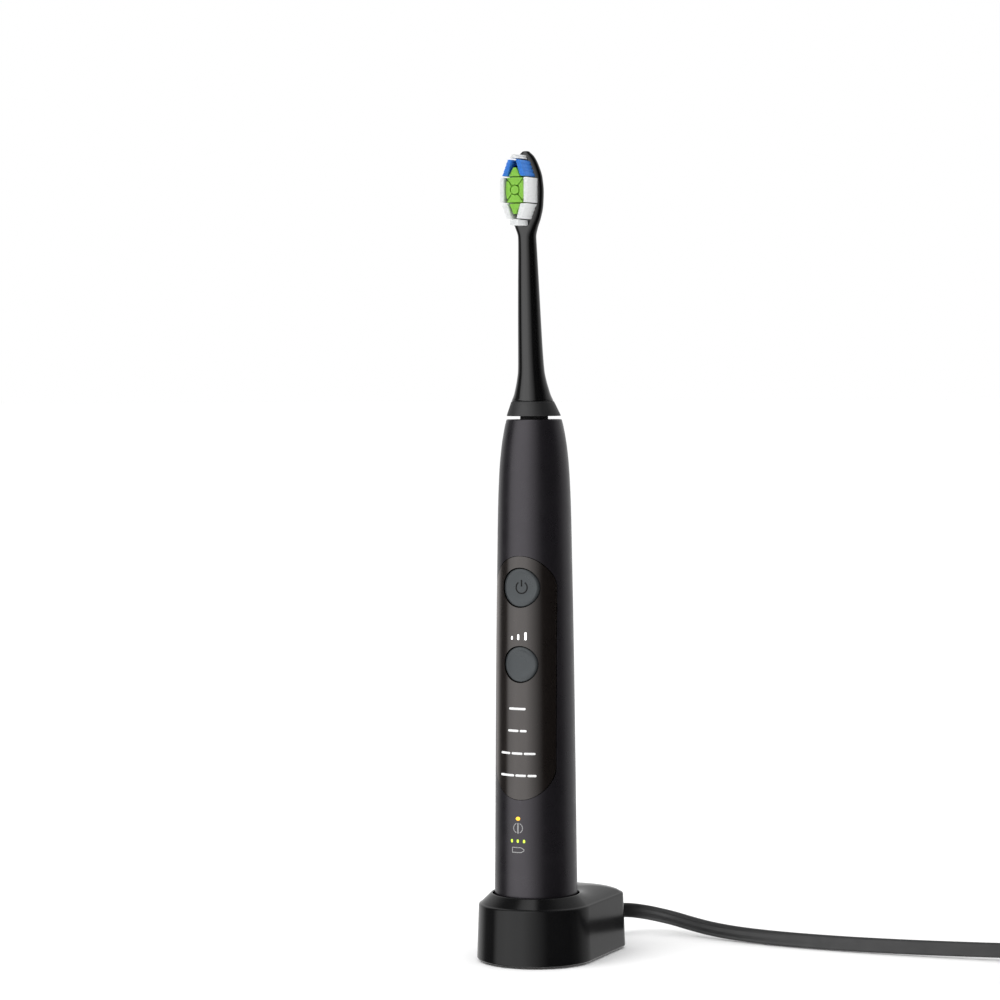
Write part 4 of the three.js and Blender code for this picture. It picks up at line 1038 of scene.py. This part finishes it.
def handle_shell():
    outer = handle_levels(HANDLE_BOTTOM + BOTTOM_EDGE, HANDLE_TOP - GAP, 90)
    top_inside = HANDLE_TOP - HANDLE_WALL
    inside_levels = handle_levels(HANDLE_BOTTOM + BOTTOM_EDGE, top_inside, 20)
    inner = [(radius - HANDLE_WALL, z) for radius, z in inside_levels]
    bottom_radius = HANDLE_PROFILE[0][1]
    edge = [(bottom_radius - BOTTOM_EDGE * (1 - math.sin(a)), HANDLE_BOTTOM + BOTTOM_EDGE * (1 - math.cos(a)))
            for a in steps(0, math.pi / 2, 5)]
    outline = [
        (inner[0][0], HANDLE_BOTTOM), *edge, *outer[1:],
        (TOP_RADIUS + TOP_EDGE, HANDLE_TOP - TOP_EDGE_DROP), (TOP_RADIUS - TOP_EDGE, HANDLE_TOP),
        (SEAL_RADIUS + GAP, HANDLE_TOP), (SEAL_RADIUS + GAP, top_inside), *reversed(inner),
    ]
    shell = mesh_from("shell", turned(outline))
    recess = combined(
        front_bar(stadium(0)), handle_body(-PANEL_RECESS, PANEL_LOW, PANEL_HIGH), "DIFFERENCE",
    )
    shell = combined(shell, recess, "DIFFERENCE")
    for height, radius in (POWER_BUTTON, MODE_BUTTON):
        shell = combined(shell, front_bar(disc(radius + GAP, HANDLE_BOTTOM + height)), "DIFFERENCE")
    skin_normals(shell, 0)
    place(shell, "handle_casing", "handle", "handle_plastic", ["handle_shell"], weighted=False)


def panel_overlay():
    outside = handle_body(PANEL_PROUD, PANEL_LOW, PANEL_HIGH)
    inside = handle_body(GAP - PANEL_RECESS, PANEL_LOW - 1, PANEL_HIGH + 1)
    panel = combined(front_bar(stadium(PANEL_CLEARANCE)), outside, "INTERSECT")
    panel = combined(panel, inside, "DIFFERENCE")
    for height, radius in (POWER_BUTTON, MODE_BUTTON):
        hole = front_bar(disc(radius + PANEL_CLEARANCE, HANDLE_BOTTOM + height))
        panel = combined(panel, hole, "DIFFERENCE")
    panel = chamfered(panel, PANEL_CHAMFER)
    skin_normals(panel, PANEL_PROUD)
    place(panel, "panel_lens", "handle", "panel_gloss", ["panel_overlay"], weighted=False)


def button_front(height, radius):
    """The front of a round button, which follows the handle and has a bowl: Y as a function of x and z."""
    z0 = HANDLE_BOTTOM + height

    def front(x, z):
        skin = -math.sqrt((handle_radius(z) - BUTTON_SUNK) ** 2 - x ** 2)
        share = min(1, math.hypot(x, z - z0) / (radius - BUTTON_LIP))
        return skin + BOWL_DEPTH * (1 - share ** 3)

    return front


def button(name, node, height, radius):
    z0 = HANDLE_BOTTOM + height
    back = -(handle_radius(z0) - BUTTON_SUNK - BUTTON_THICKNESS)
    front = button_front(height, radius)

    def ring(reach, sunk):
        points = []
        for angle in steps(0, 2 * math.pi, 96)[:-1]:
            x, z = reach * math.cos(angle), z0 + reach * math.sin(angle)
            points.append(Vector((x, front(x, z) + sunk, z)))
        return points

    rings = [ring((radius - BUTTON_ROUNDING) * share, 0) for share in steps(0, 1, 48)[1:-1]]
    for angle in steps(0, math.pi / 2, 6):
        inset = BUTTON_ROUNDING * (1 - math.sin(angle))
        rings.append(ring(radius - inset, BUTTON_ROUNDING * (1 - math.cos(angle))))
    rings.append([Vector((p.x, max(p.y + BUTTON_SIDE, back), p.z)) for p in rings[-1]])
    piece(name, loft(rings), node, "button_grey", [node])


def bottom_cap():
    low, high = (corner.z for corner in box("bottom_cap"))
    radius = box("bottom_cap")[1].x
    well = POST_RADIUS + WELL_CLEARANCE
    middle, top = low + CAP_THICKNESS / 2, low + CAP_THICKNESS
    groove = radius - 2 * RING_SECTION - GAP
    groove_low, groove_high = middle - RING_SECTION - GAP, middle + RING_SECTION + GAP
    beside_axis = 0.001  # turned() closes the outline on itself only off the axis
    outline = rounded([
        (well, low, 0.3), (radius, low, 0.25), (radius, groove_low, 0.1), (groove, groove_low, 0),
        (groove, groove_high, 0), (radius, groove_high, 0.1), (radius, top, 0.1),
        (well + WELL_WALL, top, 0.3), (well + WELL_WALL, high, 0.4), (beside_axis, high, 0),
        (beside_axis, high - WELL_WALL, 0), (well, high - WELL_WALL, 0.3),
    ])
    piece("bottom_plug", turned(outline, 96), "handle", "cap_plastic", ["bottom_cap"])


def shaft_seal():
    low, high = (corner.z for corner in box("shaft_seal"))
    flange, flange_top = box("shaft_seal")[1].x, HANDLE_TOP - HANDLE_WALL - GAP
    outline = rounded([
        (SHAFT_BORE, low, 0), (flange, low, 0.2), (flange, flange_top, 0.2), (SEAL_RADIUS, flange_top, 0),
        (SEAL_RADIUS, HANDLE_TOP + SEAL_STEP, 0.8), (SHAFT_BORE + SEAL_LIP, high, 0.3),
        (SHAFT_BORE, high, 0.15),
    ])
    piece("shaft_gaiter", turned(outline, 72), "handle", "seal_rubber", ["shaft_seal"])


def drive_shaft():
    low, high = (corner.z for corner in box("drive_shaft"))
    outline = rounded([(0, low, 0), (SHAFT_RADIUS, low, 0.3), (SHAFT_RADIUS, high, 0.4), (0, high, 0)])
    piece("steel_shaft", turned(outline, 48), "drive_shaft", "shaft_steel", ["drive_shaft"])


# ---------- marks and lights on the handle ----------
def stroke(points, half_width, height, offset, name, material, x0=0):
    """A printed line of (x, height) points laid on the handle's front, with round ends."""
    z0 = HANDLE_BOTTOM + height

    def on_skin(x, z, depth):
        radius = handle_radius(z0 + z) + offset - depth
        return Vector((x0 + x, -math.sqrt(radius ** 2 - (x0 + x) ** 2), z0 + z))

    path = [Vector(p) for p in points]
    dense = []
    for a, b in zip(path, path[1:]):
        count = max(1, int((b - a).length / 0.4))
        dense += [a.lerp(b, share) for share in steps(0, 1, count)[:-1]]
    dense.append(path[-1])
    first = (dense[1] - dense[0]).normalized()
    last = (dense[-1] - dense[-2]).normalized()
    cap = [(half_width * s, half_width * math.sqrt(1 - s * s)) for s in (0.5, 0.8, 0.98)]
    stations = [(dense[0] - first * reach, half) for reach, half in reversed(cap)]
    stations += [(p, half_width) for p in dense]
    stations += [(dense[-1] + last * reach, half) for reach, half in cap]
    rings = []
    for k, (p, half) in enumerate(stations):
        ahead = (stations[min(k + 1, len(stations) - 1)][0] - stations[max(k - 1, 0)][0]).normalized()
        side = Vector((-ahead.y, ahead.x)) * half
        left, right = p + side, p - side
        rings.append([
            *[on_skin(*at, -MARK_PROUD) for at in (left, p, right)],
            *[on_skin(*at, MARK_SUNK) for at in (right, p, left)],
        ])
    place(mesh_from(name, loft(rings)), name, "handle", "bristle_white", material=material, weighted=False)


def arc_points(radius, start, end, count=24):
    angles = steps(math.radians(start), math.radians(end), count)
    return [(radius * math.cos(a), radius * math.sin(a)) for a in angles]


def marks():
    # X, length and half width of each intensity light
    for k, (x, length, half_width) in enumerate(((-2.87, 0.6, 0.3), (-0.5, 1.2, 0.32), (2.0, 1.9, 0.36))):
        stroke([(0, 0), (0, length)], half_width, INTENSITY_HEIGHT, PANEL_PROUD, f"intensity_light_{k + 1}",
               WHITE_LIGHT, x0=x)
    # the rows that stand for the names of the modes: height, and the start and end of each dash
    rows = [
        (64.1, [(-3.6, 1.7)]),
        (56.9, [(-4.0, -0.8), (0.4, 2.0)]),
        (49.5, [(-7.0, -3.9), (-2.6, 0.6), (1.8, 4.8)]),
        (42.3, [(-7.2, -2.4), (-1.2, 1.8), (3.0, 5.1)]),
    ]
    for k, (height, dashes) in enumerate(rows):
        for j, (start, end) in enumerate(dashes):
            name = f"mode_mark_{k + 1}_{j + 1}"
            stroke([(start, 0), (end, 0)], DASH_LINE, height, PANEL_PROUD, name, PRINTED)
    stroke([(-0.15, 0), (0.15, 0)], 0.62, CHARGE_HEIGHT, 0, "charge_light", AMBER_LIGHT, x0=MARKS_MIDDLE)
    for side, start, end in (("left", 115, 245), ("right", 65, -65)):
        stroke(arc_points(1.6, start, end), FINE_LINE, HEAD_MARK_HEIGHT, 0, f"head_mark_{side}", PRINTED_GREY,
               x0=MARKS_MIDDLE)
    stroke([(0, -1.6), (0, 1.5)], 0.24, HEAD_MARK_HEIGHT, 0, "head_mark_middle", PRINTED_GREY,
           x0=MARKS_MIDDLE)
    for k in range(3):
        stroke([(0, -0.2), (0, 0.2)], 0.36, BATTERY_LIGHT_HEIGHT, 0, f"battery_light_{k + 1}", GREEN_LIGHT,
               x0=-2.95 + 2.2 * k)
    outline = [(-2.1, -0.8), (-2.1, 0.8), (1.1, 0.8), (2.1, 0.2), (2.1, -0.2), (1.1, -0.8), (-2.1, -0.8)]
    stroke(outline, FINE_LINE, BATTERY_MARK_HEIGHT, 0, "battery_mark", PRINTED_GREY, x0=MARKS_MIDDLE)


def power_mark():
    """A standard power symbol printed in the bowl of the power button."""
    z0 = HANDLE_BOTTOM + POWER_BUTTON[0]
    front = button_front(*POWER_BUTTON)

    def in_bowl(x, z, depth):
        return Vector((x, front(x, z0 + z) + depth, z0 + z))

    def line(points, half):
        rings = []
        path = [Vector(p) for p in points]
        for k, p in enumerate(path):
            ahead = (path[min(k + 1, len(path) - 1)] - path[max(k - 1, 0)]).normalized()
            side = Vector((-ahead.y, ahead.x)) * half
            rings.append([
                in_bowl(*(p + side), -POWER_MARK_PROUD), in_bowl(*(p - side), -POWER_MARK_PROUD),
                in_bowl(*(p - side), MARK_SUNK), in_bowl(*(p + side), MARK_SUNK),
            ])
        return loft(rings)

    shapes = [line(arc_points(1.95, 125, 415, 40), 0.22), line([(0, 0.3), (0, 1.4), (0, 2.5)], 0.24)]
    place(mesh_from("power_mark", joined(shapes)), "power_mark", "power_button", "button_grey",
          material=PRINTED_DARK, weighted=False)


# ---------- brush head ----------
def head_rings(rows, count, sides=64):
    sizes = curve_through(rows)
    rings = []
    for height in steps(rows[0][0], rows[-1][0], count):
        width, depth, middle, squareness = sizes(height)
        rings.append(section(width, depth, middle, HANDLE_TOP + height, squareness, sides))
    return rings


def brush_shell():
    rings = head_rings(NECK_SECTIONS, 150)
    height, width, depth, middle, squareness = NECK_SECTIONS[-1]
    for angle in steps(0, 80, 5)[1:]:
        shrink = math.cos(math.radians(angle))
        z = HANDLE_TOP + height + TIP_RISE * math.sin(math.radians(angle))
        rings.append(section(width * shrink, depth * shrink, middle, z, squareness, 64))
    low, high = SPIGOT_BOTTOM, NECK_SECTIONS[0][0]
    collar = curve_through(COLLAR_SECTIONS)
    outside = HEAD_WALL + GAP
    spigot = []
    for z, inset in ((low, outside + SPIGOT_WALL), (low, outside), (high, outside)):
        width, depth, middle, squareness = collar(z)
        spigot.append(section(width - inset, depth - inset, middle, HANDLE_TOP + z, squareness, 64))
    bottoms = [top for _, top in NECK_HOLES[1:]] + [low]
    bore = [
        section(radius, radius, 0, HANDLE_TOP + z, 2, 64)
        for (radius, top), bottom in zip(NECK_HOLES, bottoms) for z in (top, bottom)
    ]
    piece("brush_neck", loft([*bore, *spigot, *rings]), "brush_head", "brush_gloss", ["brush_shell"])


def collar_ring():
    outer = head_rings(COLLAR_SECTIONS, 16)
    low, high = COLLAR_SECTIONS[0], COLLAR_SECTIONS[-1]

    def edge(row, inset, lift):
        height, width, depth, middle, squareness = row
        return section(width - inset, depth - inset, middle, HANDLE_TOP + height + lift, squareness, 64)

    rings = [
        edge(low, HEAD_WALL, 0.1), edge(low, HEAD_WALL - 0.15, 0), edge(low, 0.3, 0), edge(low, 0.08, 0.08),
        *outer[1:-1], edge(high, 0.1, -0.1), edge(high, 0.3, 0), edge(high, HEAD_WALL, 0),
    ]
    piece("collar_band", loft(rings, closed=True), "brush_head", "collar_matte", ["collar_ring"])


def inside(outline, x, z):
    """True if a point is within an outline."""
    hit = False
    for (x0, z0), (x1, z1) in zip(outline, [*outline[1:], outline[0]]):
        if (z0 > z) != (z1 > z) and x < x0 + (x1 - x0) * (z - z0) / (z1 - z0):
            hit = not hit
    return hit


def filament(root, tip):
    """One bristle, with its edge rounded off at the tip."""
    ahead = (tip - root).normalized()
    side = ahead.cross(Vector((0, 0, 1))).normalized()
    above = side.cross(ahead)
    sides, rings = 5, []
    for share, radius in ((0, 1), (0.6, 1), (0.99, 1), (1, 0.7)):
        centre = root.lerp(tip, share)
        rings.append([
            centre + (side * math.cos(a) + above * math.sin(a)) * BRISTLE_RADIUS * radius
            for a in steps(0, 2 * math.pi, sides)[:-1]
        ])
    vertices = [p for points in rings for p in points]
    last = len(vertices) - sides
    faces = [
        (row + k, row + (k + 1) % sides, row + sides + (k + 1) % sides, row + sides + k)
        for row in range(0, last, sides) for k in range(sides)
    ]
    faces += [tuple(range(last, last + sides)), tuple(reversed(range(sides)))]
    return vertices, faces


def planted(outline):
    """Evenly spaced places within an outline."""
    xs, zs = [p[0] for p in outline], [p[1] for p in outline]
    rise = BRISTLE_SPACING * math.sqrt(3) / 2
    places = []
    for row in range(int((max(zs) - min(zs)) / rise) + 1):
        z = min(zs) + (row + 0.5) * rise
        x = min(xs) + BRISTLE_SPACING * (0.25 + 0.5 * (row % 2))
        while x < max(xs):
            if inside(outline, x, z):
                places.append((x, z))
            x += BRISTLE_SPACING
    return places


def tuft(node, slot, places):
    """A block of upright bristles, cut level at its front."""
    tip_y = box(node)[0].y
    shapes = []
    for x, z in places:
        stray = [random.uniform(-BRISTLE_STRAY, BRISTLE_STRAY) for _ in range(3)]
        root = Vector((x, BRISTLE_ROOT, HANDLE_TOP + z))
        tip = Vector((x + stray[0], tip_y + abs(stray[1]), HANDLE_TOP + z + stray[2]))
        shapes.append(filament(root, tip))
    name = f"{node}_bristles"
    place(mesh_from(name, joined(shapes)), name, "brush_head", slot, [node], weighted=False)


def in_block(x, z):
    """True on the green block's bristles, which leave a ring and four slanting lines free."""
    up = z - BLOCK_CENTRE
    if abs(x) > BLOCK_FLANK + BLOCK_CROWN * math.cos(math.pi / 2 * up / BLOCK_HALF_HEIGHT):
        return False
    reach = math.hypot(x, up)
    if reach < BLOCK_CIRCLE + BLOCK_GAP:
        return reach < BLOCK_CIRCLE - BLOCK_GAP
    return abs(abs(x) * math.sin(BLOCK_SLANT) - abs(up) * math.cos(BLOCK_SLANT)) > BLOCK_GAP


def mirrored(outline):
    return [(-x, z) for x, z in outline]


def bristles():
    block = planted([(-3.1, 70.3), (3.1, 70.3), (3.1, 78.3), (-3.1, 78.3)])
    tuft("tuft_centre", "bristle_green", [place for place in block if in_block(*place)])
    outlines = {
        "tuft_upper": ("bristle_green", [(-1.9, 78.7), (1.9, 78.7), (0.4, 81.6), (-0.4, 81.6)]),
        "tuft_lower": ("bristle_green", [(-0.4, 66.6), (0.4, 66.6), (1.9, 69.9), (-1.9, 69.9)]),
        "tuft_tip": ("bristle_white", [(-1.2, 84.5), (1.2, 84.5), (0.8, 85.9), (-0.8, 85.9)]),
        "tuft_heel": ("bristle_white", [(-1.5, 63), (1.5, 63), (1.5, 64.7), (-1.5, 64.7)]),
    }
    sides = {
        "tuft_side": ("bristle_white", [(3.5, 70.3), (4.8, 70.3), (4.8, 78.3), (3.5, 78.3)]),
        "tuft_low": ("bristle_white", [(1.0, 65.1), (2.6, 65.1), (4.5, 69.9), (2.3, 69.9)]),
        "tuft_bar": ("bristle_blue", [(2.3, 78.8), (4.0, 78.8), (2.0, 84.1), (0.7, 84.1)]),
    }
    for name, (slot, outline) in sides.items():
        outlines[f"{name}_right"] = (slot, outline)
        outlines[f"{name}_left"] = (slot, mirrored(outline))
    for node, (slot, outline) in outlines.items():
        tuft(node, slot, planted(outline))


# ---------- the whole scene ----------
camera()
studio()
lead()
piece("charger_housing", charger_shell(), "charger", "charger_black", ["charger_shell"])
handle_shell()
panel_overlay()
button("power_cap", "power_button", *POWER_BUTTON)
button("mode_cap", "mode_button", *MODE_BUTTON)
bottom_cap()
shaft_seal()
drive_shaft()
marks()
power_mark()
brush_shell()
collar_ring()
bristles()
